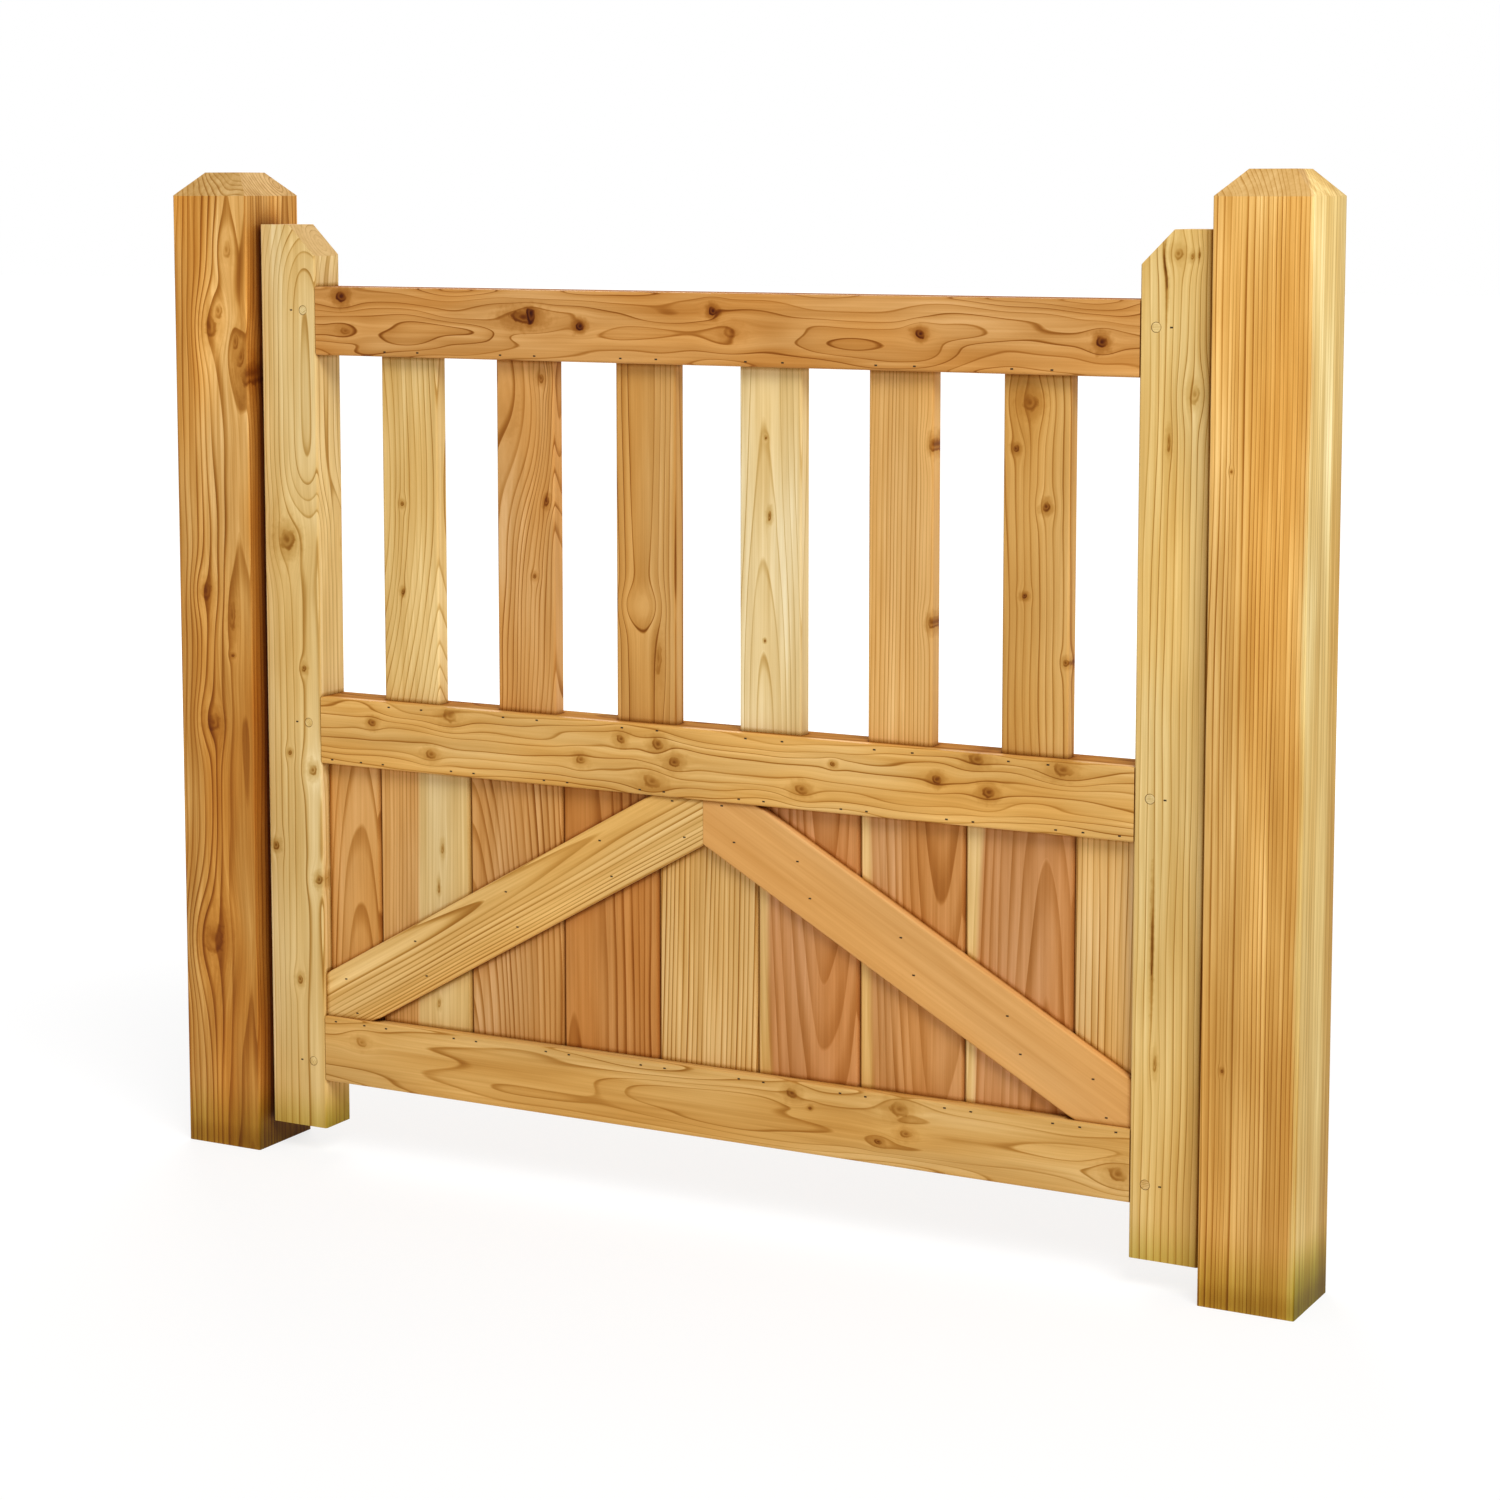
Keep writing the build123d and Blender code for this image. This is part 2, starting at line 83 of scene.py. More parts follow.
def node_group(name, kind, inputs, outputs):
    """An empty node group with named sockets: (group, sockets to read from, sockets to fill)."""
    group = bpy.data.node_groups.new(name, kind)
    for way, sockets in (("INPUT", inputs), ("OUTPUT", outputs)):
        for label, socket_kind in sockets.items():
            group.interface.new_socket(name=label, in_out=way, socket_type=socket_kind)
    return group, group.nodes.new("NodeGroupInput").outputs, group.nodes.new("NodeGroupOutput").inputs


# A knot is the foot of a branch that runs through the plank: a dark rim and pith with lighter wood
# between them. The rings swell over it and the fibres part round it. Reaches are in knot radii.
KNOT_EDGE = (1.4, 0.6)
HALO_EDGE = (2.8, 1.0)
HALO_SHADE = 0.2
RIM_WAVES = 6.0
RIM_SHADE = (0.25, 0.75)
BRANCH_LEAN = (0.3, 0.0, -0.3)
PARTING = (0.4, 0.0, 0.3)
PUSH = 0.85
BELL = math.exp(-1.0)
ACROSS_ONLY = (1.0, 0.0, 0.0)
knot, knot_in, knot_out = node_group(
    "larch_knot", "ShaderNodeTree",
    {"Place": "NodeSocketVector", "Dark": "NodeSocketFloat", "Ragged": "NodeSocketFloat",
     "Centre": "NodeSocketVector", "Fineness": "NodeSocketVector", "Strength": "NodeSocketFloat",
     "Swell": "NodeSocketVector"},
    {"Place": "NodeSocketVector", "Dark": "NodeSocketFloat"})
from_centre = node(knot, VECTOR, (knot_in["Place"], knot_in["Centre"]), operation="SUBTRACT")
in_radii = node(knot, VECTOR, (from_centre, knot_in["Fineness"]), operation="MULTIPLY")
reach = node(knot, VECTOR, (in_radii,), operation="LENGTH")
reach = node(knot, MATH, (reach, knot_in["Ragged"]), operation="MULTIPLY")
core = node(knot, RANGE, (reach, *KNOT_EDGE), **SMOOTH)
one_sided = node(knot, VECTOR, (in_radii, BRANCH_LEAN), operation="DOT_PRODUCT")
rim = node(knot, MATH, (reach, one_sided), operation="ADD")
rim = node(knot, MATH, (rim, RIM_WAVES), operation="MULTIPLY")
rim = node(knot, MATH, (rim,), operation="COSINE")
rim = node(knot, MATH, (rim, *RIM_SHADE), operation="MULTIPLY_ADD")
eye = node(knot, MATH, (core, rim), operation="MULTIPLY")
halo = node(knot, RANGE, (reach, *HALO_EDGE, 0.0, HALO_SHADE), **SMOOTH)
shade = node(knot, MATH, (eye, halo), operation="MAXIMUM")
shade = node(knot, MATH, (shade, knot_in["Strength"]), operation="MULTIPLY")
shade = node(knot, MATH, (shade, knot_in["Dark"]), operation="MAXIMUM")
knot.links.new(shade.outputs[0], knot_out["Dark"])

# Both the parting and the swelling fade from the knot's middle as a bell curve does.
spread = node(knot, VECTOR, (in_radii, PARTING), operation="MULTIPLY")
spread = node(knot, VECTOR, (spread, spread), operation="DOT_PRODUCT")
near = node(knot, MATH, (BELL, spread), operation="POWER")
push = node(knot, MATH, (near, -PUSH), operation="MULTIPLY")
sideways = node(knot, VECTOR, (from_centre, ACROSS_ONLY), operation="MULTIPLY")
sideways = node(knot, VECTOR, (sideways, push), operation="SCALE")
lifted = node(knot, VECTOR, (knot_in["Swell"], near), operation="SCALE")
bent = node(knot, VECTOR, (knot_in["Place"], sideways), operation="ADD")
bent = node(knot, VECTOR, (bent, lifted), operation="ADD")
knot.links.new(bent.outputs[0], knot_out["Place"])

# Larch as it grows: yearly rings round the heart of the log, pale early wood ending in a thin dark
# line of late wood, pinker heartwood inside and yellow sapwood outside.
growth, growth_in, growth_out = node_group(
    "larch_growth", "ShaderNodeTree",
    {"Place": "NodeSocketVector", "Knot": "NodeSocketFloat", "Heart": "NodeSocketVector",
     "Lean": "NodeSocketVector", "Bow": "NodeSocketVector", "Bow Middle": "NodeSocketFloat",
     "Bow Span": "NodeSocketFloat", "Bow Edge": "NodeSocketFloat",
     "Wander": "NodeSocketVector", "Wave": "NodeSocketVector", "Ring": "NodeSocketFloat",
     "Line": "NodeSocketFloat", "Strength": "NodeSocketFloat", "Sap Reach": "NodeSocketFloat",
     "Cloudy": "NodeSocketFloat", "Uneven": "NodeSocketFloat", "Seed": "NodeSocketFloat",
     "Heartwood": "NodeSocketColor", "Sapwood": "NodeSocketColor"},
    {"Wood": "NodeSocketColor", "Sap": "NodeSocketFloat", "Pigment": "NodeSocketFloat",
     "Height": "NodeSocketFloat"})


def fineness_of(wave):
    """Waves per mm, from wave lengths in mm."""
    return tuple(1 / length for length in wave)


# Five noises drawn out along the grain, each with its fineness, its own step of the seed and its detail.
# Waves are in mm across, through and along the plank. Real fibre is too fine to show and is drawn coarser.
JITTER_WAVE = (20.0, 20.0, 210.0)
FIBRE_WAVE = (1.8, 1.8, 110.0)
BLOTCH_WAVE = (38.0, 38.0, 240.0)
STREAK_WAVE = (7.0, 7.0, 420.0)
GRAIN_NOISES = {"slow": (growth_in["Wave"], 0.0, 1.0), "jitter": (fineness_of(JITTER_WAVE), 3.0, 0.0),
                "fibre": (fineness_of(FIBRE_WAVE), 6.0, 3.0), "blotch": (fineness_of(BLOTCH_WAVE), 9.0, 2.0),
                "streak": (fineness_of(STREAK_WAVE), 12.0, 2.0)}
drawn = {}
for pattern, (fineness, seed_step, detail) in GRAIN_NOISES.items():
    spot = node(growth, VECTOR, (growth_in["Place"], fineness), operation="MULTIPLY")
    seed = node(growth, MATH, (growth_in["Seed"], seed_step), operation="ADD")
    drawn[pattern] = node(growth, "ShaderNodeTexNoise",
                          {"Vector": spot, "W": seed, "Scale": 1.0, "Detail": detail}, noise_dimensions="4D")

# How far each point lies from the log's heart, which leans, bows and wanders along the plank.
NOISE_MIDDLE = (0.5, 0.5, 0.5)
NOT_ALONG = (1.0, 1.0, 0.0)
slow = drawn["slow"].outputs["Color"]
drift = node(growth, VECTOR, (slow, NOISE_MIDDLE), operation="SUBTRACT")
wandered = node(growth, VECTOR, (drift, growth_in["Wander"], growth_in["Place"]), operation="MULTIPLY_ADD")
along = node(growth, "ShaderNodeSeparateXYZ", (growth_in["Place"],)).outputs["Z"]
leaned = node(growth, VECTOR, (growth_in["Lean"], along), operation="SCALE")
bow_reach = node(growth, MATH, (along, growth_in["Bow Middle"]), operation="SUBTRACT")
bow_reach = node(growth, MATH, (bow_reach, growth_in["Bow Span"]), operation="DIVIDE")
bow_reach = node(growth, MATH, (bow_reach, bow_reach), operation="MULTIPLY")
bow_reach = node(growth, MATH, (bow_reach, growth_in["Bow Edge"]), operation="POWER")
bow_share = node(growth, MATH, (BELL, bow_reach), operation="POWER")
bow_share = node(growth, MATH, (1.0, bow_share), operation="SUBTRACT")
bowed = node(growth, VECTOR, (growth_in["Bow"], bow_share), operation="SCALE")
heart_here = node(growth, VECTOR, (growth_in["Heart"], leaned), operation="ADD")
heart_here = node(growth, VECTOR, (heart_here, bowed), operation="ADD")
from_heart = node(growth, VECTOR, (wandered, heart_here), operation="SUBTRACT")
from_heart = node(growth, VECTOR, (from_heart, NOT_ALONG), operation="MULTIPLY")
radius = node(growth, VECTOR, (from_heart,), operation="LENGTH")

# Which year's ring that is, and how late in that year: some years are good, some lean.
RING_JITTER = 0.5
SPELL_YEARS = 5.0
YEAR_STEP = 7.31
years = node(growth, MATH, (radius, growth_in["Ring"]), operation="DIVIDE")
years = node(growth, MATH, (drawn["jitter"], RING_JITTER, years), operation="MULTIPLY_ADD")
spell = node(growth, MATH, (years, 1 / SPELL_YEARS, growth_in["Seed"]), operation="MULTIPLY_ADD")
spell = node(growth, "ShaderNodeTexNoise", {"W": spell, "Scale": 1.0, "Detail": 1.0}, noise_dimensions="1D")
years = node(growth, MATH, (spell, growth_in["Uneven"], years), operation="MULTIPLY_ADD")
season = node(growth, MATH, (years,), operation="FRACT")
year = node(growth, MATH, (years,), operation="FLOOR")
year = node(growth, MATH, (growth_in["Seed"], YEAR_STEP, year), operation="MULTIPLY_ADD")
weather = node(growth, "ShaderNodeTexWhiteNoise", {"W": year}, noise_dimensions="1D")

# Sapwood starts at its reach from the heart, along a ragged edge.
SAP_RAGGED = 14.0
SAP_EDGE = (4.0, 10.0)
edge = node(growth, MATH, (drawn["blotch"], SAP_RAGGED, radius), operation="MULTIPLY_ADD")
edge = node(growth, MATH, (edge, growth_in["Sap Reach"]), operation="SUBTRACT")
sap = node(growth, RANGE, (edge, *SAP_EDGE), **SMOOTH)
growth.links.new(sap.outputs[0], growth_out["Sap"])

# Late wood: a share of the tint builds up over the summer, the rest comes in one line at its end.
# A value of four numbers has the two ends of what is read, then the two ends of what that gives.
LINE_END = 0.94
WINTER = (0.93, 1.0)
LINE_SHARE = 0.72
FAINT_STRETCH = (0.3, 0.7, 0.55, 1.15)
DRY_YEAR = 0.5
SAP_LINE = 0.4
line_start = node(growth, MATH, (1.0, growth_in["Line"]), operation="SUBTRACT")
line = node(growth, RANGE, (season, line_start, LINE_END, 0.0, LINE_SHARE), **SMOOTH)
summer = node(growth, MATH, (season, season), operation="MULTIPLY")
line = node(growth, MATH, (summer, 1.0 - LINE_SHARE, line), operation="MULTIPLY_ADD")
winter = node(growth, RANGE, (season, *WINTER, 1.0, 0.0), **SMOOTH)
line = node(growth, MATH, (line, winter), operation="MULTIPLY")
faint = node(growth, RANGE, (drawn["jitter"], *FAINT_STRETCH), **SMOOTH)
line = node(growth, MATH, (line, faint), operation="MULTIPLY")
late = node(growth, RANGE, (weather, 0.0, 1.0, DRY_YEAR, 1.0), **SMOOTH)
late = node(growth, MATH, (late, growth_in["Strength"]), operation="MULTIPLY")
pale = node(growth, RANGE, (sap, 0.0, 1.0, 1.0, SAP_LINE), **SMOOTH)
late = node(growth, MATH, (late, pale), operation="MULTIPLY")
late = node(growth, MATH, (line, late), operation="MULTIPLY")

# Pigment: late wood, knots, and the soft clouds that fibre, streaks, blotches and years leave.
NOISE_SPAN = (0.2, 0.8)
CLOUD_SHADES = {"fibre": (0.05, -0.05), "streak": (0.09, -0.08), "blotch": (0.11, -0.09)}
YEAR_SHADE = (0.03, -0.03)
KNOT_SHADE = 1.5
LATE_WOOD_RISE = 0.6
cloud = node(growth, RANGE, (weather, 0.0, 1.0, *YEAR_SHADE), **SMOOTH)
for pattern, shades in CLOUD_SHADES.items():
    tint = node(growth, RANGE, (drawn[pattern], *NOISE_SPAN, *shades), **SMOOTH)
    cloud = node(growth, MATH, (cloud, tint), operation="ADD")
pigment = node(growth, MATH, (cloud, growth_in["Cloudy"], late), operation="MULTIPLY_ADD")
pigment = node(growth, MATH, (growth_in["Knot"], KNOT_SHADE, pigment), operation="MULTIPLY_ADD")
growth.links.new(pigment.outputs[0], growth_out["Pigment"])
height = node(growth, MATH, (late, LATE_WOOD_RISE, drawn["fibre"]), operation="MULTIPLY_ADD")
growth.links.new(height.outputs[0], growth_out["Height"])

# Colour: heartwood or sapwood, flushed pinker or yellower in slow clouds.
FLUSH = "#FFF4DC"
FLUSH_TURN = (0.25, 0.75, -0.7, 0.7)
wood = node(growth, "ShaderNodeMix", (sap, growth_in["Heartwood"], growth_in["Sapwood"]), data_type="RGBA")
flush = node(growth, "ShaderNodeSeparateXYZ", (slow,)).outputs["Z"]
flush = node(growth, RANGE, (flush, *FLUSH_TURN), **SMOOTH)
flush = node(growth, MATH, (flush, growth_in["Cloudy"]), operation="MULTIPLY")
flush = node(growth, "ShaderNodeGamma", (linear(FLUSH), flush))
wood = node(growth, VECTOR, (wood, flush), operation="MULTIPLY")
growth.links.new(wood.outputs[0], growth_out["Wood"])

# The planed surface: warm and low in gloss from the oil, with the late wood standing a little proud.
# End grain takes one even brown, partly as it drinks more oil and partly as a painted sheen of the sky.
# The upper faces of the rails are dull and carry painted shade.
# Painted shade darkens the uprights towards the ground, sapwood the most; a painted green at their feet
# stands for grass reflected into them and for shade.
RESIN = "#956F37"
END_GRAIN_AND_SHEEN = "#D3AA6A"
END_GRAIN_TURN = (0.3, 0.65, 0.0, 0.85)
END_GRAIN_SAP = -0.8
END_GRAIN_LINES = -0.5
PLANED_ROUGH = 0.58
WOOD_GLOSS = 0.12
GRAIN_RELIEF = 0.12 * MM
RELIEF_SHARE = 0.6
RAGGED_WAVE = 7.0
RAGGED_EDGE = (0.25, 0.75, 0.75, 1.3)
SWELL_SHARE = 0.5
TOP_SKIN = (1.4, 0.4)
TOP_SHADE = 0.42
TOP_START = (6.0, 12.0)
BACK_SPAN = 14.0
BACK_STAIN = 0.2
SHADE_BELOW_RISE = (950.0, 350.0)
GREEN_FOOT_SHADE = "#868A26"
GREEN_FOOT_RISE = (80.0, -5.0)
GREEN_FOOT_SHARE = (0.35, 0.9)
# Painted shade: the colour darkens where ambient occlusion finds other wood close by, in corners and gaps.
CORNER_SHADE_EDGE = (0.9, 0.25, 0.0, 1.2)
CORNER_SHADE_SAMPLES = 4


def larch_material(name, middle, turn, heart, lean=(0.0, 0.0), bow=(0.0, 0.0), bow_middle=0.0,
                   bow_span=200.0, bow_edge=1.0, wander=(12.0, 12.0), wave=(55.0, 330.0), ring=6.0,
                   line=0.3, strength=0.8, uneven=1.4, cloudy=1.0, seed=1.0, heartwood="#DDB06A",
                   sapwood="#E8CB8B", sap_reach=900.0, knots=(), knot_depth=300.0, end_grain=False,
                   top_face=None, back_edge=None, damp=0.0, foot=None, grime_reach=5.0):
    """Planed larch, lightly oiled, with its rings drawn where the plank was sawn from the log.

    The plank's own axes start at middle and are turned: x across, y in from its front, z along, in mm.
    heart is the log's heart, across and in. It moves by lean for each mm along, and by bow beyond about
    bow_span from bow_middle, in a sharper step where bow_edge is larger. The grain wanders across and in,
    over waves across and along. ring is a year's width, line the late wood's share of it, strength how
    dark that is and uneven how much the years differ. Sapwood starts sap_reach from the heart. cloudy is
    how much the colour varies. Each knot is (across, along, radius, stretch along the grain, darkness)
    and reaches knot_depth in from the front. With end_grain, the faces that look up are cut across the
    fibres, and their even brown is partly end grain and partly a painted sheen of the sky. The face at
    top_face is dull and carries painted shade, and the wood past back_edge is darker. damp is how much
    painted shade darkens an upright towards the ground, sapwood the most, with a painted green at its
    foot for grass reflected into it and for shade. Painted shade from ambient occlusion gathers within
    grime_reach of other wood, but not within it of the ground at foot.
    """
    material = bpy.data.materials.new(name)
    material.use_nodes = True
    tree = material.node_tree
    tree.nodes.clear()
    coordinates = node(tree, "ShaderNodeTexCoord").outputs
    turn = tuple(math.radians(angle) for angle in turn)
    spot = node(tree, "ShaderNodeMapping",
                {"Vector": coordinates["Object"], "Location": middle, "Rotation": turn,
                 "Scale": (MM, MM, MM)}, vector_type="TEXTURE")
    own = node(tree, "ShaderNodeSeparateXYZ", (spot,)).outputs
    facing = node(tree, "ShaderNodeSeparateXYZ", (coordinates["Normal"],)).outputs
    ragged = node(tree, "ShaderNodeTexNoise", {"Vector": spot, "Scale": 1 / RAGGED_WAVE, "Detail": 2.0})
    ragged = node(tree, RANGE, (ragged, *RAGGED_EDGE))
    dark = 0.0
    for across, along_plank, size, stretch, darkness in knots:
        branch = node(tree, "ShaderNodeGroup",
                      {"Place": spot, "Dark": dark, "Ragged": ragged, "Centre": (across, 0.0, along_plank),
                       "Fineness": fineness_of((size, knot_depth, size * stretch)), "Strength": darkness,
                       "Swell": (0.0, SWELL_SHARE * size, 0.0)}, node_tree=knot)
        spot = branch.outputs["Place"]
        dark = branch.outputs["Dark"]
    grain = node(tree, "ShaderNodeGroup",
                 {"Place": spot, "Knot": dark, "Heart": (*heart, 0.0), "Lean": (*lean, 0.0),
                  "Bow": (*bow, 0.0), "Bow Middle": bow_middle, "Bow Span": bow_span, "Bow Edge": bow_edge,
                  "Wander": (*wander, 0.0), "Wave": fineness_of((wave[0], wave[0], wave[1])),
                  "Ring": ring, "Line": line, "Strength": strength, "Sap Reach": sap_reach,
                  "Cloudy": cloudy, "Uneven": uneven, "Seed": seed, "Heartwood": linear(heartwood),
                  "Sapwood": linear(sapwood)}, node_tree=growth).outputs
    wood = grain["Wood"]
    pigment = grain["Pigment"]
    rough = PLANED_ROUGH
    # Faces that look up take an even brown with fainter lines, partly end grain and partly a painted sheen
    # of the sky.
    if end_grain:
        cut = node(tree, RANGE, (facing["Z"], *END_GRAIN_TURN))
        kept = node(tree, MATH, (grain["Sap"], END_GRAIN_SAP, 1.0), operation="MULTIPLY_ADD")
        cut = node(tree, MATH, (cut, kept), operation="MULTIPLY")
        wood = node(tree, "ShaderNodeMix", (cut, wood, linear(END_GRAIN_AND_SHEEN)), data_type="RGBA")
        kept = node(tree, MATH, (cut, END_GRAIN_LINES, 1.0), operation="MULTIPLY_ADD")
        pigment = node(tree, MATH, (pigment, kept), operation="MULTIPLY")
    # Painted shade on a rail's upper face, back from its front, which is also made rougher and so duller.
    if top_face is not None:
        skin = [top_face + depth for depth in TOP_SKIN]
        shaded_top_mask = node(tree, RANGE, (own["X"], *skin, 0.0, TOP_SHADE))
        past_front = node(tree, RANGE, (own["Y"], *TOP_START))
        shaded_top_mask = node(tree, MATH, (shaded_top_mask, past_front), operation="MULTIPLY")
        pigment = node(tree, MATH, (pigment, shaded_top_mask), operation="ADD")
        rough = node(tree, MATH, (PLANED_ROUGH, shaded_top_mask), operation="ADD")
    if back_edge is not None:
        darker = node(tree, RANGE, (own["Y"], back_edge, back_edge + BACK_SPAN, 0.0, BACK_STAIN), **SMOOTH)
        pigment = node(tree, MATH, (pigment, darker), operation="ADD")
    # Painted shade: an upright grows darker towards the ground, sapwood twice as much.
    if damp:
        above_ground = node(tree, MATH, (own["Z"], middle[2] / MM), operation="ADD")
        shade_here = node(tree, RANGE, (above_ground, *SHADE_BELOW_RISE, 0.0, damp), **SMOOTH)
        sap_gain = node(tree, MATH, (grain["Sap"], 1.0), operation="ADD")
        pigment = node(tree, MATH, (shade_here, sap_gain, pigment), operation="MULTIPLY_ADD")
        # Painted green at the foot, for grass reflected into it and for shade, most on faces towards the
        # latch side.
        green = node(tree, RANGE, (above_ground, *GREEN_FOOT_RISE), **SMOOTH)
        sideways = node(tree, RANGE, (facing["X"], 0.0, 1.0, *GREEN_FOOT_SHARE))
        green = node(tree, MATH, (green, sideways), operation="MULTIPLY")
        green = node(tree, "ShaderNodeGamma", (linear(GREEN_FOOT_SHADE), green))
        wood = node(tree, VECTOR, (wood, green), operation="MULTIPLY")
    # Painted shade in corners, gaps and under parts, from ambient occlusion; none close to the ground at a
    # foot.
    open_around = node(tree, "ShaderNodeAmbientOcclusion", {"Distance": grime_reach * MM},
                       samples=CORNER_SHADE_SAMPLES).outputs["AO"]
    grime = node(tree, RANGE, (open_around, *CORNER_SHADE_EDGE))
    if foot is not None:
        clear = node(tree, RANGE, (own["Z"], foot, foot + grime_reach))
        grime = node(tree, MATH, (grime, clear), operation="MULTIPLY")
    pigment = node(tree, MATH, (pigment, grime), operation="ADD")
    tint = node(tree, "ShaderNodeGamma", (linear(RESIN), pigment))
    colour = node(tree, VECTOR, (wood, tint), operation="MULTIPLY")
    relief = node(tree, "ShaderNodeBump", {"Height": grain["Height"], "Distance": GRAIN_RELIEF,
                                           "Strength": RELIEF_SHARE})
    surface = node(tree, "ShaderNodeBsdfPrincipled",
                   {"Base Color": colour, "Roughness": rough, "Specular IOR Level": WOOD_GLOSS,
                    "Normal": relief})
    node(tree, "ShaderNodeOutputMaterial", {"Surface": surface})
    return material


def larch(name, turn=0.0, shaded_top=False, on_ground=False, **growing):
    """Gives a plank of the frame its own larch; turn is its lean from upright, in degrees."""
    low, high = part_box(name)
    half_height = (high.z - low.z) / 2 / MM
    # A rail's upper face takes painted shade; an upright on the ground keeps its foot clear of painted
    # corner shade.
    if shaded_top:
        growing["top_face"] = -half_height
    if on_ground:
        growing["foot"] = -half_height
    middle = ((low.x + high.x) / 2, low.y, (low.z + high.z) / 2)
    material = larch_material(name + "_larch", middle, (0.0, turn, 0.0), end_grain=turn == 0.0, **growing)
    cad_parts[name].material_slots[0].material = material


# The posts gather painted corner shade from 28 mm off, which darkens the hinge post's side in its gap by the
# leaf; both also take painted shade towards the ground.
larch("hinge_post", heart=(36.0, 66.0), lean=(0.0, 0.01), wander=(16.0, 12.0), wave=(42.0, 210.0),
      ring=4.8, line=0.45, strength=0.8, cloudy=1.8, seed=1.0, heartwood="#E2A757", on_ground=True,
      damp=0.2, grime_reach=28.0, knot_depth=60.0,
      knots=((23.0, 448.0, 5.0, 1.8, 0.3), (11.0, 383.0, 5.0, 1.7, 0.4), (2.0, 366.0, 8.0, 1.5, 0.45),
             (30.0, 350.0, 5.0, 1.8, 0.4), (36.0, 334.0, 5.0, 2.0, 0.45), (43.0, 316.0, 6.0, 2.2, 0.6),
             (-12.0, 81.0, 7.0, 1.4, 0.4), (22.0, 56.0, 4.5, 3.4, 0.4), (22.0, 13.0, 1.6, 1.2, 0.7),
             (-5.0, -62.0, 8.0, 1.2, 0.45), (-9.0, -300.0, 13.0, 1.4, 0.4)))
larch("latch_post", heart=(-112.0, -60.0), lean=(0.004, 0.0), wander=(8.0, 8.0), wave=(60.0, 480.0),
      ring=3.9, line=0.34, strength=0.75, uneven=2.4, cloudy=1.4, seed=2.0, heartwood="#EDBB6C",
      sapwood="#FDE3A0", sap_reach=168.0, on_ground=True, damp=0.14, grime_reach=28.0, knot_depth=60.0,
      back_edge=60.0, knots=((-26.0, 256.0, 1.2, 1.2, 0.7), (-26.0, -302.0, 1.6, 1.2, 0.7)))

# Stiles: the two uprights of the leaf, ex 75 x 50 mm larch, with mortises for the rail tenons and
# a groove for the boards; the inner top corner of each is sawn off at 45 degrees.
# Both stiles take painted shade towards the ground, the hanging stile more.
larch("hanging_stile", heart=(22.0, 18.0), bow=(0.0, 21.0), bow_middle=330.0, bow_span=140.0,
      bow_edge=3.0, wander=(7.0, 7.0), ring=5.2, line=0.24, strength=0.55, uneven=0.0, seed=3.0,
      heartwood="#EDCD8D", damp=0.08,
      knots=((-5.0, 152.0, 10.0, 1.1, 0.55), (14.0, 15.0, 3.0, 1.2, 0.7), (-6.0, -78.0, 2.6, 1.1, 0.7),
             (24.0, -95.0, 5.0, 1.2, 0.6), (-26.0, -181.0, 4.0, 1.2, 0.7), (30.0, -214.0, 4.5, 1.2, 0.7),
             (3.0, -326.0, 3.6, 1.3, 0.6)))
# The closing stile gathers painted corner shade from 14 mm off, beside the latch post.
larch("closing_stile", heart=(-78.0, 40.0), lean=(0.006, 0.0), wander=(11.0, 8.0), wave=(48.0, 260.0),
      ring=6.4, line=0.2, strength=0.7, seed=4.0, heartwood="#E6C27A", damp=0.02, grime_reach=14.0,
      knots=((2.0, 465.0, 5.0, 1.0, 0.4), (12.0, 463.0, 2.4, 1.3, 0.45), (20.0, 464.0, 2.2, 1.5, 0.45),
             (-8.6, 452.0, 1.1, 20.0, 0.9), (20.0, 336.0, 5.0, 1.6, 0.3), (-5.0, 292.0, 1.8, 5.0, 0.5),
             (-15.0, -182.0, 1.2, 28.0, 0.8), (-11.0, -296.0, 2.0, 4.0, 0.4)))

# Rails: three cross bars of the same stock, tenoned into the stiles with their fronts flush.
# Top and middle rail take the pickets; middle and bottom rail hold the ends of the boards.
LYING = 90.0
# The top and middle rails carry painted shade on their upper faces.
larch("top_rail", LYING, shaded_top=True, heart=(8.0, 42.0), lean=(0.0, 0.014), wander=(28.0, 48.0),
      wave=(38.0, 170.0), ring=5.4, line=0.17, strength=0.9, seed=5.0, heartwood="#D49953",
      knots=((-26.0, -431.0, 5.5, 1.3, 1.2), (10.0, -426.0, 4.0, 1.6, 0.35), (-8.0, -206.0, 6.5, 2.4, 0.9),
             (-9.0, -197.0, 3.0, 1.8, 1.6), (-1.0, -139.0, 4.0, 1.2, 1.4), (-18.0, 14.0, 4.4, 1.0, 1.3),
             (2.0, 35.0, 6.0, 1.5, 0.3), (0.0, 240.0, 4.2, 1.1, 1.2), (4.0, 426.0, 5.4, 1.0, 1.3)))
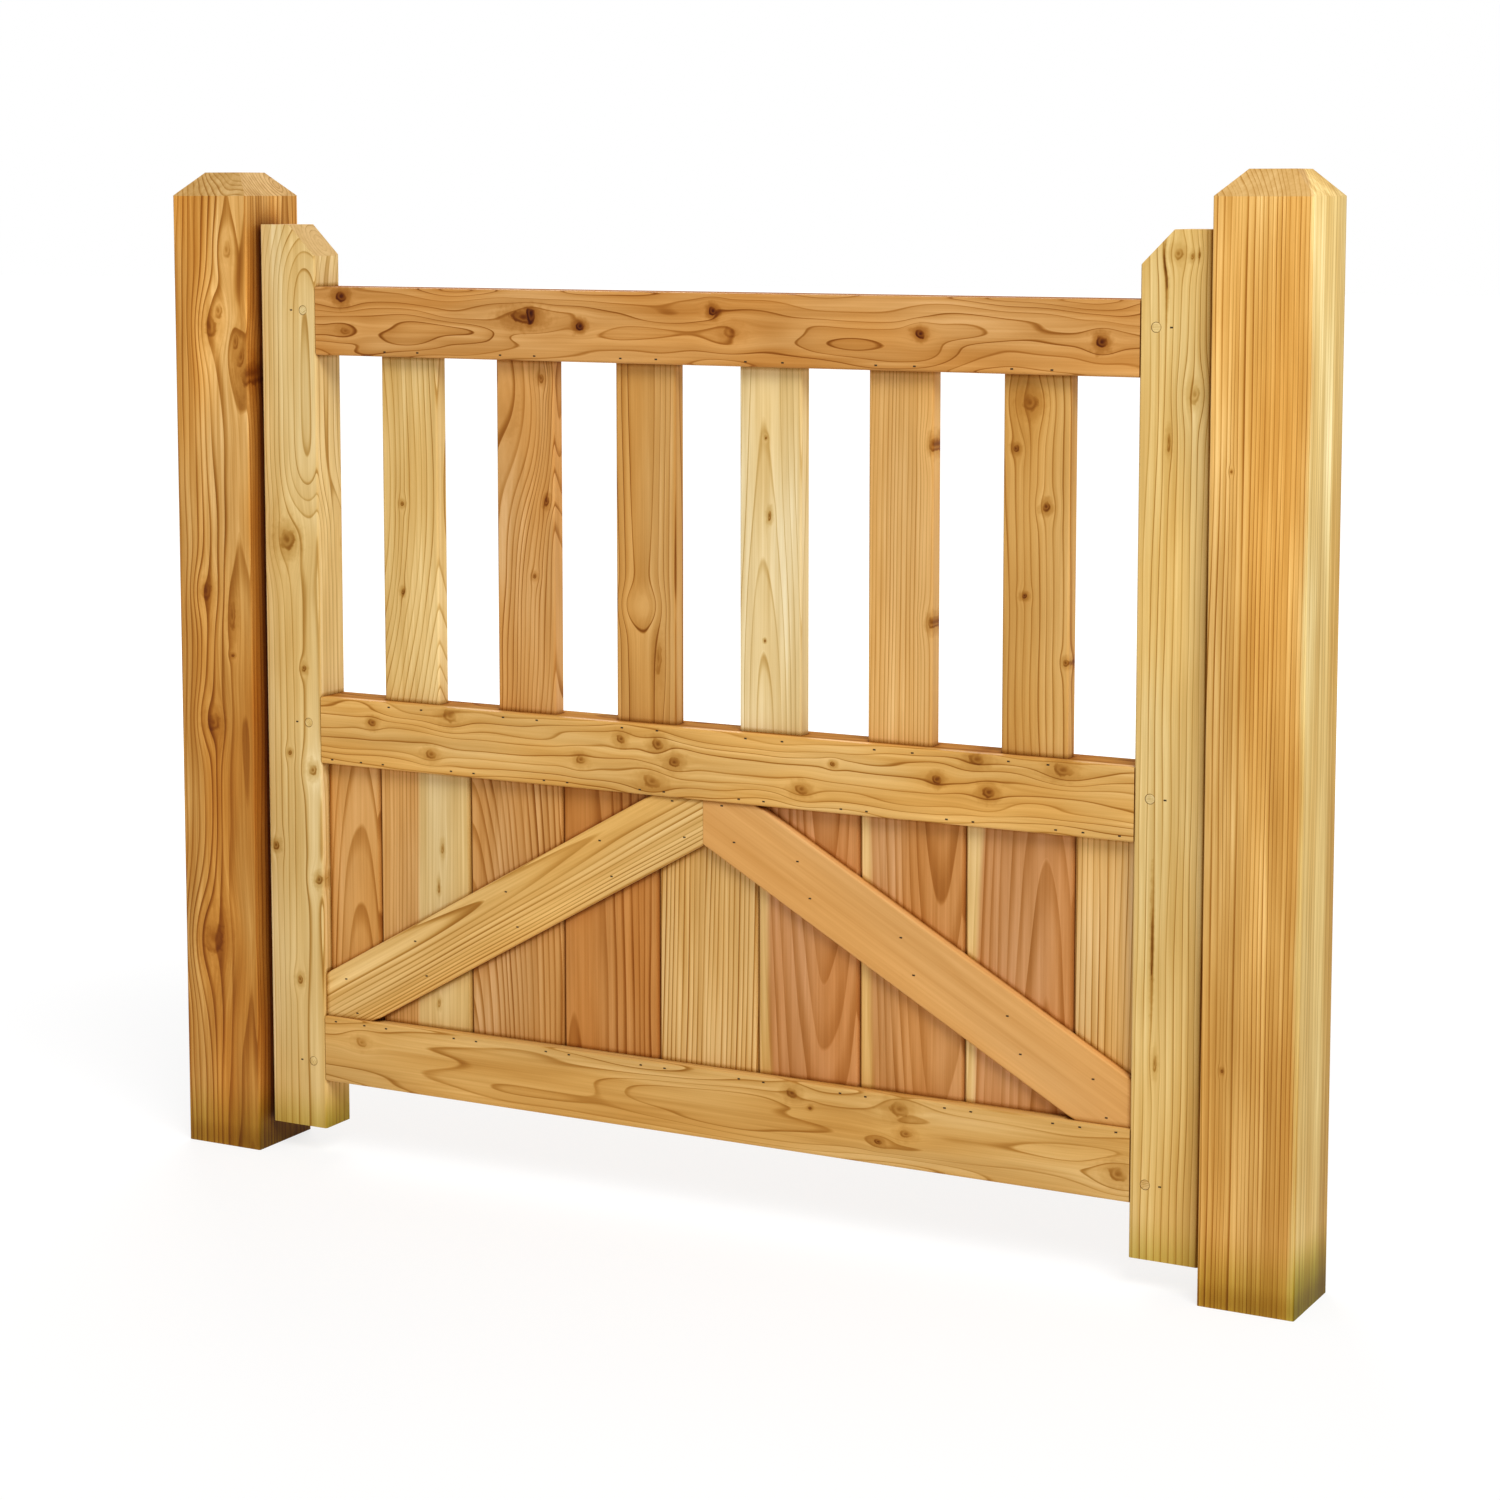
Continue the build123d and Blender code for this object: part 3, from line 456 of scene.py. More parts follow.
larch("middle_rail", LYING, shaded_top=True, heart=(-64.0, 40.0), wander=(26.0, 26.0), wave=(30.0, 150.0),
      ring=8.0, line=0.2, strength=0.75, seed=6.0, heartwood="#E0AE62",
      knots=((-13.0, -398.0, 4.0, 1.2, 0.7), (-27.0, -300.0, 6.5, 1.3, 0.4), (15.0, -324.0, 5.0, 1.3, 0.5),
             (-19.0, -93.0, 4.6, 1.1, 0.65), (-17.0, -50.0, 6.0, 1.1, 0.65), (-2.0, -31.0, 6.0, 1.1, 0.7),
             (21.0, -57.0, 7.0, 1.4, 0.4), (6.0, -141.0, 4.6, 1.2, 0.5), (15.0, 113.0, 5.0, 1.4, 0.5),
             (-13.0, 148.0, 2.6, 1.2, 0.8), (-7.0, 260.0, 4.4, 1.2, 0.75), (1.0, 315.0, 5.6, 1.2, 0.7),
             (-30.0, 302.0, 6.0, 1.4, 0.5), (-27.0, 391.0, 6.0, 1.6, 0.5)))
larch("bottom_rail", LYING, heart=(2.0, 50.0), lean=(0.0, -0.01), wander=(18.0, 38.0), wave=(36.0, 280.0),
      ring=4.3, line=0.22, strength=0.7, seed=7.0, heartwood="#D9AA62",
      knots=((10.0, 452.0, 7.0, 1.3, 0.5), (-24.0, 103.0, 5.0, 1.3, 0.5), (-23.0, 222.0, 7.0, 1.5, 0.4),
             (-2.0, 229.0, 5.0, 1.3, 0.45), (12.0, 199.0, 3.0, 1.4, 0.75), (-13.0, 124.0, 1.8, 1.2, 0.8),
             (-12.0, -417.0, 5.0, 1.3, 0.35)))

# Boards: nine tongue-and-groove boards, V jointed on the front, standing loose in the groove round
# the lower panel. Each is a different piece of larch, some with a yellow strip of sapwood.
larch("board_1", heart=(10.0, 26.0), lean=(0.0, 0.09), wander=(7.0, 7.0), ring=7.4, line=0.4, strength=0.6,
      uneven=0.6, seed=11.0, heartwood="#DBA25C")
larch("board_2", heart=(-150.0, 10.0), lean=(0.01, 0.0), wander=(7.0, 7.0), ring=4.6, line=0.4, strength=0.4,
      seed=12.0, heartwood="#DAA664", sapwood="#E2C080", sap_reach=139.0,
      knots=((19.0, 57.0, 2.0, 3.0, 0.4), (14.0, 15.0, 1.6, 4.0, 0.5), (13.0, -110.0, 2.0, 2.5, 0.4)))
larch("board_3", heart=(-64.0, 28.0), lean=(0.0, 0.14), wander=(9.0, 7.0), ring=6.4, line=0.5, strength=0.8,
      seed=13.0, heartwood="#D49D5D")
larch("board_4", heart=(-38.0, 58.0), lean=(0.0, 0.02), wander=(12.0, 8.0), wave=(50.0, 260.0), ring=6.4,
      line=0.45, strength=0.75, seed=14.0, heartwood="#C98845")
larch("board_5", heart=(170.0, 20.0), lean=(0.03, 0.0), wander=(5.0, 5.0), ring=5.6, line=0.4, strength=0.85,
      seed=15.0, heartwood="#E2B46E")
larch("board_6", heart=(18.0, 34.0), lean=(0.0, -0.07), wander=(12.0, 12.0), ring=8.5, line=0.7,
      strength=0.42, seed=16.0, heartwood="#D0925A", sapwood="#E4B872", sap_reach=73.0)
larch("board_7", heart=(30.0, 34.0), lean=(0.0, -0.06), wander=(12.0, 12.0), ring=7.5, line=0.65,
      strength=0.45, seed=17.0, heartwood="#D09458", sapwood="#E6B870", sap_reach=85.0)
larch("board_8", heart=(24.0, 32.0), lean=(0.0, 0.06), wander=(12.0, 12.0), ring=7.5, line=0.65,
      strength=0.42, seed=18.0, heartwood="#CE9158", sapwood="#F0CC8C", sap_reach=77.0)
larch("board_9", heart=(140.0, 8.0), lean=(0.01, 0.0), wander=(6.0, 6.0), ring=6.6, line=0.3, strength=0.75,
      seed=19.0, heartwood="#E2B674")

# Braces: two flat larch bars planted on the boards, scribed to the rails, the stiles and each other.
# Their front edges are eased by hand.
brace_low, brace_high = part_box("brace_left")
BRACE_HEEL = 6.0 * MM
brace_rise = brace_high.z - brace_low.z - 2 * BRACE_HEEL
brace_slope = math.degrees(math.atan2(brace_rise, brace_high.x - brace_low.x))
larch("brace_left", LYING - brace_slope, heart=(-24.0, 30.0), lean=(0.0, 0.014), wander=(7.0, 7.0),
      ring=3.6, line=0.45, strength=0.75, seed=21.0, heartwood="#E7BA70")
larch("brace_right", LYING + brace_slope, heart=(12.0, 60.0), lean=(0.0, 0.004), wander=(10.0, 10.0),
      ring=30.0, line=0.7, strength=0.05, cloudy=0.55, seed=22.0, heartwood="#DFA763")

# Pickets: six flat bars with eased edges, standing in mortises in the top and middle rails.
# Ex 75 x 25 mm larch, each from a different plank.
larch("picket_1", heart=(-86.0, 54.0), lean=(0.08, 0.0), bow=(-34.0, 0.0), wander=(10.0, 10.0), ring=6.4,
      line=0.26, strength=0.6, seed=31.0, heartwood="#E8C480",
      knots=((-10.0, 28.0, 2.4, 1.2, 0.7), (-10.0, -65.0, 2.4, 1.3, 0.6)))
larch("picket_2", heart=(-46.0, 20.0), lean=(0.05, 0.0), wander=(18.0, 14.0), wave=(45.0, 180.0), ring=5.0,
      line=0.36, strength=0.75, seed=32.0, heartwood="#DAA360",
      knots=((-26.0, 128.0, 21.0, 1.5, 0.08), (4.0, 164.0, 4.0, 1.2, 0.6), (18.0, 38.0, 3.2, 1.4, 0.8),
             (9.0, -40.0, 2.4, 1.2, 0.7)))
larch("picket_3", heart=(-5.0, 23.2), bow=(0.0, 5.9), bow_middle=180.0, wander=(4.0, 4.0), ring=4.9,
      line=0.14, strength=1.1, uneven=0.0, seed=33.0, heartwood="#D49F58",
      knots=((-6.0, -64.0, 7.5, 0.76, 0.0), (15.0, -116.0, 3.6, 4.5, 0.3)))
larch("picket_4", heart=(-6.0, 19.2), bow=(0.0, 13.0), bow_middle=-180.0, wander=(4.0, 4.0), ring=4.6,
      line=0.2, strength=0.5, uneven=0.0, seed=34.0, heartwood="#F0D49A",
      knots=((-5.0, 112.0, 1.2, 1.2, 0.9), (-1.0, 35.0, 2.0, 2.6, 0.7), (-6.0, -90.0, 1.2, 1.2, 0.9)))
larch("picket_5", heart=(120.0, 10.0), lean=(0.01, 0.0), wander=(6.0, 6.0), ring=4.4, line=0.4, strength=0.5,
      seed=35.0, heartwood="#E2B06A",
      knots=((35.0, 112.0, 4.0, 1.6, 0.75), (34.0, -61.0, 4.0, 1.4, 0.65)))
larch("picket_6", heart=(80.0, 22.0), lean=(-0.02, 0.0), wander=(14.0, 10.0), wave=(50.0, 240.0), ring=7.4,
      line=0.28, strength=0.8, seed=36.0, heartwood="#D6A257",
      knots=((-7.0, 155.0, 8.0, 1.0, 0.45), (-21.0, 111.0, 3.2, 1.0, 0.8), (10.6, 57.0, 4.0, 1.1, 0.9),
             (-11.0, -29.0, 2.6, 1.0, 0.9), (32.0, -91.0, 3.0, 1.2, 0.7)))

# Pegs: one round softwood dowel through each rail tenon, driven from the front and cut off flush,
# so its end grain shows as a small ring on both faces of the stile.
MOVE = "GeometryNodeTransform"
XYZ = "ShaderNodeCombineXYZ"
JOIN = "GeometryNodeJoinGeometry"
NOWHERE = (0.0, 0.0, 0.0)
QUARTER_TURN = math.pi / 2
ROUND_SIDES = 40
WELD = 0.001 * MM


def grown(name, places, group, settings):
    """Runs a geometry group once over a handful of places and keeps what it makes as a plain mesh."""
    cloud = bpy.data.meshes.new(name)
    cloud.from_pydata(places, [], [])
    piece = bpy.data.objects.new(name, cloud)
    bpy.context.scene.collection.objects.link(piece)
    work = piece.modifiers.new(name, "NODES")
    work.node_group = group
    for item in group.interface.items_tree:
        if item.item_type == "SOCKET" and item.in_out == "INPUT" and item.name in settings:
            work[item.identifier] = settings[item.name]
    bpy.context.view_layer.update()
    evaluated = piece.evaluated_get(bpy.context.evaluated_depsgraph_get())
    mesh = bpy.data.meshes.new_from_object(evaluated)
    piece.modifiers.remove(work)
    piece.data = mesh
    return piece


def placed(group, instance, places, facing, material, result):
    """Ends a geometry group: one instance on each place, made real and given its material."""
    spread_out = node(group, "GeometryNodeInstanceOnPoints",
                      {"Points": places, "Instance": instance, "Rotation": facing})
    solid = node(group, "GeometryNodeRealizeInstances", (spread_out,))
    finished = node(group, "GeometryNodeSetMaterial", {"Geometry": solid, "Material": material})
    group.links.new(finished.outputs[0], result)


peg_group, peg_in, peg_out = node_group(
    "cut_off_pegs", "GeometryNodeTree",
    {"Places": "NodeSocketGeometry", "Radius": "NodeSocketFloat", "Length": "NodeSocketFloat",
     "Ease": "NodeSocketFloat", "Wood": "NodeSocketMaterial"},
    {"Geometry": "NodeSocketGeometry"})
body_length = node(peg_group, MATH, (peg_in["Ease"], -2.0, peg_in["Length"]), operation="MULTIPLY_ADD")
half_body = node(peg_group, MATH, (body_length, 0.5), operation="MULTIPLY")
half_length = node(peg_group, MATH, (peg_in["Length"], 0.5), operation="MULTIPLY")
end_radius = node(peg_group, MATH, (peg_in["Radius"], peg_in["Ease"]), operation="SUBTRACT")
dowel = node(peg_group, "GeometryNodeMeshCylinder",
             {"Vertices": ROUND_SIDES, "Radius": peg_in["Radius"], "Depth": body_length}, fill_type="NONE")
ease_ring = node(peg_group, "GeometryNodeMeshCone",
                 {"Vertices": ROUND_SIDES, "Radius Top": end_radius, "Radius Bottom": peg_in["Radius"],
                  "Depth": peg_in["Ease"]}, fill_type="NONE")
ease_ring = node(peg_group, MOVE, (ease_ring, node(peg_group, XYZ, (0.0, 0.0, half_body))))
disc = node(peg_group, "GeometryNodeMeshCircle",
            {"Vertices": ROUND_SIDES, "Radius": end_radius}, fill_type="NGON")
disc = node(peg_group, MOVE, (disc, node(peg_group, XYZ, (0.0, 0.0, half_length))))
near_end = node(peg_group, JOIN, ([ease_ring, disc],))
far_end = node(peg_group, MOVE, (near_end, NOWHERE, (2 * QUARTER_TURN, 0.0, 0.0)))
whole = node(peg_group, JOIN, ([dowel, near_end, far_end],))
whole = node(peg_group, "GeometryNodeMergeByDistance", {"Geometry": whole, "Distance": WELD})
lying = node(peg_group, MOVE, (whole, NOWHERE, (QUARTER_TURN, 0.0, 0.0)))
placed(peg_group, lying, peg_in["Places"], NOWHERE, peg_in["Wood"], peg_out["Geometry"])

leaf_low, leaf_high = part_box("hanging_stile")
pegs_low, pegs_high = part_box("tenon_pegs")
middle_low, middle_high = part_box("middle_rail")
PEG_RADIUS = 5.0 * MM
PEG_EASE = 0.5 * MM
PEG_SUNK = 0.15 * MM
PEG_ABOVE_MIDDLE = 7.0 * MM
peg_x = pegs_high.x - PEG_RADIUS
peg_y = (leaf_low.y + leaf_high.y) / 2
peg_heights = (pegs_low.z + PEG_RADIUS, (middle_low.z + middle_high.z) / 2 + PEG_ABOVE_MIDDLE,
               pegs_high.z - PEG_RADIUS)
peg_places = [(side * peg_x, peg_y, z) for side in (-1, 1) for z in peg_heights]

# The heart of the dowels' log lies far from every peg, so their rings show as fine, nearly straight lines.
PEG_LYING = (90.0, 0.0, 0.0)
PEG_LOG_HEART = (463.0, -440.0)
peg_wood = larch_material("dowel_end_grain", (0.0, leaf_low.y, 0.0), PEG_LYING, PEG_LOG_HEART,
                          wander=(3.0, 3.0), ring=1.7, line=0.5, strength=0.5, seed=41.0,
                          heartwood="#E2BE7E")
peg_size = {"Radius": PEG_RADIUS, "Length": leaf_high.y - leaf_low.y - 2 * PEG_SUNK, "Ease": PEG_EASE,
            "Wood": peg_wood}
pegs = grown("tenon_peg_ends", peg_places, peg_group, peg_size)
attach(pegs, "leaf")
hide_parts("tenon_pegs")

# Brads: thin steel pins with small flat heads, shot in a little below the face of the wood.
# One sits beside each peg, and a pair holds each picket end, board end and crossing of brace and board.
BOOLEAN = "GeometryNodeMeshBoolean"
RANDOM = "FunctionNodeRandomValue"
brad_group, brad_in, brad_out = node_group(
    "shot_brads", "GeometryNodeTree",
    {"Places": "NodeSocketGeometry", "Head Width": "NodeSocketFloat", "Head Height": "NodeSocketFloat",
     "Head Depth": "NodeSocketFloat", "Sunk": "NodeSocketFloat", "Shank": "NodeSocketFloat",
     "Length": "NodeSocketFloat", "Tilt": "NodeSocketFloat", "Seed": "NodeSocketInt",
     "Steel": "NodeSocketMaterial"},
    {"Geometry": "NodeSocketGeometry"})
head_size = node(brad_group, XYZ, (brad_in["Head Width"], brad_in["Head Depth"], brad_in["Head Height"]))
head_middle = node(brad_group, MATH, (brad_in["Head Depth"], 0.5, brad_in["Sunk"]), operation="MULTIPLY_ADD")
head = node(brad_group, "GeometryNodeMeshCube", (head_size,))
head = node(brad_group, MOVE, (head, node(brad_group, XYZ, (0.0, head_middle, 0.0))))
shank_length = node(brad_group, MATH, (brad_in["Length"], head_middle), operation="SUBTRACT")
shank_middle = node(brad_group, MATH, (shank_length, 0.5, head_middle), operation="MULTIPLY_ADD")
shank_size = node(brad_group, XYZ, (brad_in["Shank"], shank_length, brad_in["Shank"]))
shank = node(brad_group, "GeometryNodeMeshCube", (shank_size,))
shank = node(brad_group, MOVE, (shank, node(brad_group, XYZ, (0.0, shank_middle, 0.0))))
whole = node(brad_group, BOOLEAN, ([head, shank],), operation="UNION", solver="EXACT")

# Random Value repeats its socket names for each kind of value, so the two for a number go by their order.
LEAST = 2
MOST = 3
other_way = node(brad_group, MATH, (brad_in["Tilt"], -1.0), operation="MULTIPLY")
turned = node(brad_group, RANDOM, {LEAST: other_way, MOST: brad_in["Tilt"], "Seed": brad_in["Seed"]},
              data_type="FLOAT")
turned = node(brad_group, XYZ, (0.0, turned, 0.0))
placed(brad_group, whole, brad_in["Places"], turned, brad_in["Steel"], brad_out["Geometry"])

METAL_CLOUD = (0.3, 0.7)


def plain_metal(name, colour, dullness, wave):
    """Bare or plated steel of one colour, with a gloss that changes softly from spot to spot."""
    material = bpy.data.materials.new(name)
    material.use_nodes = True
    tree = material.node_tree
    tree.nodes.clear()
    spot = node(tree, "ShaderNodeTexCoord").outputs["Object"]
    spot = node(tree, "ShaderNodeMapping", {"Vector": spot, "Scale": (wave, wave, wave)},
                vector_type="TEXTURE")
    cloud = node(tree, "ShaderNodeTexNoise", {"Vector": spot, "Scale": 1.0, "Detail": 3.0})
    gloss = node(tree, RANGE, (cloud, *METAL_CLOUD, *dullness))
    surface = node(tree, "ShaderNodeBsdfPrincipled",
                   {"Base Color": linear(colour), "Metallic": 1.0, "Roughness": gloss})
    node(tree, "ShaderNodeOutputMaterial", {"Surface": surface})
    return material


# The heads are dark brown, partly dull, rusted steel and partly painted shade of the pits they sit in,
# and read as short strokes in the pale wood.
pit_shaded_brad_steel = plain_metal("dull_steel_brads_in_pit_shade", "#463A2E", dullness=(0.45, 0.65), wave=2.0 * MM)
brad_size = {"Head Width": 3.0 * MM, "Head Height": 1.6 * MM, "Head Depth": 1.2 * MM, "Sunk": 0.5 * MM,
             "Shank": 1.4 * MM, "Tilt": math.radians(5.0), "Steel": pit_shaded_brad_steel}
BRAD_END = -2.5 * MM


def brad_row(name, replaced, places, front, seed):
    """A set of brads on one face; places are (x, z)."""
    settings = dict(brad_size, Seed=seed, Length=BRAD_END - front)
    row = grown(name, [(x, front, z) for x, z in places], brad_group, settings)
    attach(row, "leaf")
    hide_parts(replaced)


PEG_TO_BRAD = 15.0 * MM
tenon_brads = [(side * (peg_x + PEG_TO_BRAD), z) for side in (-1, 1) for z in peg_heights]
brad_row("tenon_brads", "tenon_pins", tenon_brads, leaf_low.y, seed=1)
SIDE_INSET = 14.0 * MM
RAIL_INSET = 5.0 * MM
PICKET_COUNT = 6
top_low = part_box("top_rail")[0].z
bottom_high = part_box("bottom_rail")[1].z
picket_brads = []
for number in range(1, PICKET_COUNT + 1):
    picket_low, picket_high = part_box(f"picket_{number}")
    for x in (picket_low.x + SIDE_INSET, picket_high.x - SIDE_INSET):
        picket_brads += [(x, top_low + RAIL_INSET), (x, middle_high.z - RAIL_INSET)]
brad_row("picket_brads", "picket_pins", picket_brads, leaf_low.y, seed=2)
BOARD_COVER = 114.0 * MM
BOARD_COUNT = 9
panel_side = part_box("brace_right")[1].x
board_joints = [(number - BOARD_COUNT / 2) * BOARD_COVER for number in range(1, BOARD_COUNT)]
board_edges = [-panel_side] + board_joints + [panel_side]
board_spans = list(zip(board_edges, board_edges[1:]))
board_brads = []
for low, high in board_spans:
    for x in (low + SIDE_INSET, high - SIDE_INSET):
        board_brads += [(x, middle_low.z + RAIL_INSET), (x, bottom_high - RAIL_INSET)]
brad_row("board_brads", "board_pins", board_brads, leaf_low.y, seed=3)
PAIR_SHIFT = 7.0 * MM
PAIR_RISE = 18.0 * MM
brace_brads = []
for low, high in board_spans:
    for part_low, part_high in ((low, min(high, 0.0)), (max(low, 0.0), high)):
        if part_high > part_low:
            x = (part_low + part_high) / 2
            z = bottom_high + BRACE_HEEL + (panel_side - abs(x)) / panel_side * brace_rise
            brace_brads += [(x - PAIR_SHIFT, z + PAIR_RISE), (x + PAIR_SHIFT, z - PAIR_RISE)]
brad_row("brace_brads", "brace_pins", brace_brads, brace_low.y, seed=4)

# Hinges: two steel butt hinges in the gap beside the hinge post, knuckles at the back, zinc plated.
# Each leaf is held by four countersunk screws with crossed slots, driven to different angles.
CONE = "GeometryNodeMeshCone"
SHANK_START = 0.75
SHANK_SIDES = 20
SCREW_TIP = 0.3 * MM
screw_group, screw_in, screw_out = node_group(
    "countersunk_screws", "GeometryNodeTree",
    {"Places": "NodeSocketGeometry", "Head Radius": "NodeSocketFloat", "Head Depth": "NodeSocketFloat",
     "Shank Radius": "NodeSocketFloat", "Length": "NodeSocketFloat", "Slot Length": "NodeSocketFloat",
     "Slot Width": "NodeSocketFloat", "Slot Depth": "NodeSocketFloat", "Facing": "NodeSocketVector",
     "Seed": "NodeSocketInt", "Steel": "NodeSocketMaterial"},
    {"Geometry": "NodeSocketGeometry"})
head = node(screw_group, CONE, {"Vertices": ROUND_SIDES, "Radius Top": screw_in["Head Radius"],
                                "Radius Bottom": screw_in["Shank Radius"], "Depth": screw_in["Head Depth"]})
head_drop = node(screw_group, MATH, (screw_in["Head Depth"], -1.0), operation="MULTIPLY")
head = node(screw_group, MOVE, (head, node(screw_group, XYZ, (0.0, 0.0, head_drop))))
slot_height = node(screw_group, MATH, (screw_in["Slot Depth"], 2.0), operation="MULTIPLY")
slot_size = node(screw_group, XYZ, (screw_in["Slot Length"], screw_in["Slot Width"], slot_height))
slot = node(screw_group, "GeometryNodeMeshCube", (slot_size,))
slot_across = node(screw_group, MOVE, (slot, NOWHERE, (0.0, 0.0, QUARTER_TURN)))
for cutter in (slot, slot_across):
    head = node(screw_group, BOOLEAN, (head, cutter), operation="DIFFERENCE", solver="EXACT")
shank_length = node(screw_group, MATH, (screw_in["Head Depth"], -SHANK_START, screw_in["Length"]),
                    operation="MULTIPLY_ADD")
shank = node(screw_group, CONE, {"Vertices": SHANK_SIDES, "Radius Bottom": SCREW_TIP,
                                 "Radius Top": screw_in["Shank Radius"], "Depth": shank_length})
shank_drop = node(screw_group, MATH, (screw_in["Length"], -1.0), operation="MULTIPLY")
shank = node(screw_group, MOVE, (shank, node(screw_group, XYZ, (0.0, 0.0, shank_drop))))
whole = node(screw_group, BOOLEAN, ([head, shank],), operation="UNION", solver="EXACT")
turned = node(screw_group, RANDOM, {LEAST: 0.0, MOST: QUARTER_TURN, "Seed": screw_in["Seed"]},
              data_type="FLOAT")
turned = node(screw_group, "FunctionNodeEulerToRotation", (node(screw_group, XYZ, (0.0, 0.0, turned)),))
aimed = node(screw_group, "FunctionNodeEulerToRotation", (screw_in["Facing"],))
aimed = node(screw_group, "FunctionNodeRotateRotation", (aimed, turned), rotation_space="LOCAL")
placed(screw_group, whole, screw_in["Places"], aimed, screw_in["Steel"], screw_out["Geometry"])

# Zinc plating gives a pale grey with a soft, slightly clouded gloss.
zinc_steel = plain_metal("zinc_plated_steel", "#B4B6B5", dullness=(0.3, 0.5), wave=9.0 * MM)
HEAD_RADIUS = 4.2 * MM
screw_size = {"Head Radius": HEAD_RADIUS, "Head Depth": 2.0 * MM, "Shank Radius": 2.2 * MM,
              "Slot Length": 4.6 * MM, "Slot Width": 0.9 * MM, "Slot Depth": 1.0 * MM, "Steel": zinc_steel}


def screw_set(name, replaced, body, places, facing, length, seed):
    """A set of screws that all face one way."""
    settings = dict(screw_size, Facing=facing, Length=length, Seed=seed)
    row = grown(name, places, screw_group, settings)
    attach(row, body)
    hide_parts(replaced)


SCREW_ROW = -0.25 * MM
SCREW_STAGGER = 7.0 * MM
SCREW_RISES = (-36.0 * MM, -12.0 * MM, 12.0 * MM, 36.0 * MM)
HINGE_SCREW_LENGTH = 22.0 * MM
for leaf, body, way, seed in (("post", "posts", 1, 11), ("gate", "leaf", -1, 12)):
    heads_low, heads_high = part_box(f"hinge_{leaf}_screws")
    face = heads_high.x if way > 0 else heads_low.x
    places = []
    for level in ("upper", "lower"):
        plate_low, plate_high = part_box(f"{level}_hinge_{leaf}_leaf")
        plate_middle = (plate_low.z + plate_high.z) / 2
        for number, rise in enumerate(SCREW_RISES):
            places.append((face, SCREW_ROW + SCREW_STAGGER * (-1) ** number, plate_middle + rise))
    screw_set(f"hinge_{leaf}_screw_row", f"hinge_{leaf}_screws", body, places,
              (0.0, way * QUARTER_TURN, 0.0), HINGE_SCREW_LENGTH, seed)
for level in ("upper", "lower"):
    for part in ("hinge_post_leaf", "hinge_gate_leaf", "hinge_pin"):
        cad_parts[f"{level}_{part}"].material_slots[0].material = zinc_steel

# Bolt: a round steel bar with a turned knob, sliding in two guides on a plate screwed to the back of
# the closing stile and the middle rail; its tip enters a keep plate on the latch post.
BOLT_SCREW_LENGTH = 12.0 * MM
heads_low, heads_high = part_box("bolt_plate_screws")
places = [(x, heads_high.y, z) for x in (heads_low.x + HEAD_RADIUS, heads_high.x - HEAD_RADIUS)
          for z in (heads_low.z + HEAD_RADIUS, heads_high.z - HEAD_RADIUS)]
screw_set("bolt_plate_screw_set", "bolt_plate_screws", "leaf", places, (-QUARTER_TURN, 0.0, 0.0),
          BOLT_SCREW_LENGTH, seed=13)
heads_low, heads_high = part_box("bolt_keep_screws")
places = [(heads_low.x, (heads_low.y + heads_high.y) / 2, z)
          for z in (heads_low.z + HEAD_RADIUS, heads_high.z - HEAD_RADIUS)]
screw_set("bolt_keep_screw_set", "bolt_keep_screws", "posts", places, (0.0, -QUARTER_TURN, 0.0),
          BOLT_SCREW_LENGTH, seed=14)
for name in ("bolt_plate", "bolt_bar", "bolt_keep"):
    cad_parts[name].material_slots[0].material = zinc_steel

# Ground and light: a white sweep under soft daylight, as for a catalogue picture.
# Floor and sky are plain white to the eye, and lend the gate only as much light as a studio would.
FLOOR_REACH = 30.0
SHADOW_EDGE = (1.0, 3.0)
WHITE = "#FFFFFF"
FLOOR_WHITE = "#F4F4F2"
FLOOR_SHADOW = "#8C8C8C"
FLOOR_GLOW = (0.76, 1.0)
SKY_LIGHT = 0.37


def seen_directly(tree):
    """1 where the eye, a reflection or a see-through piece looks, 0 where light is only gathered."""
    rays = node(tree, "ShaderNodeLightPath").outputs
    seen = node(tree, MATH, (rays["Is Camera Ray"], rays["Is Glossy Ray"]), operation="MAXIMUM")
    return node(tree, MATH, (seen, rays["Is Transmission Ray"]), operation="MAXIMUM")


bpy.ops.mesh.primitive_plane_add(size=2 * FLOOR_REACH, location=(0, 0, 0))
floor = bpy.context.object
floor.name = "white_floor"
floor_paint = bpy.data.materials.new("white_sweep")
floor_paint.use_nodes = True
tree = floor_paint.node_tree
tree.nodes.clear()
matt_white = node(tree, "ShaderNodeBsdfDiffuse", {"Color": linear(FLOOR_WHITE)})
matt_grey = node(tree, "ShaderNodeBsdfDiffuse", {"Color": linear(FLOOR_SHADOW)})
away = node(tree, "ShaderNodeTexCoord").outputs["Object"]
away = node(tree, VECTOR, (away,), operation="LENGTH")
fill = node(tree, RANGE, (away, *SHADOW_EDGE, *FLOOR_GLOW), **SMOOTH)
glow = node(tree, "ShaderNodeEmission", {"Color": linear(WHITE), "Strength": fill})
bright = node(tree, "ShaderNodeAddShader", (matt_grey, glow))
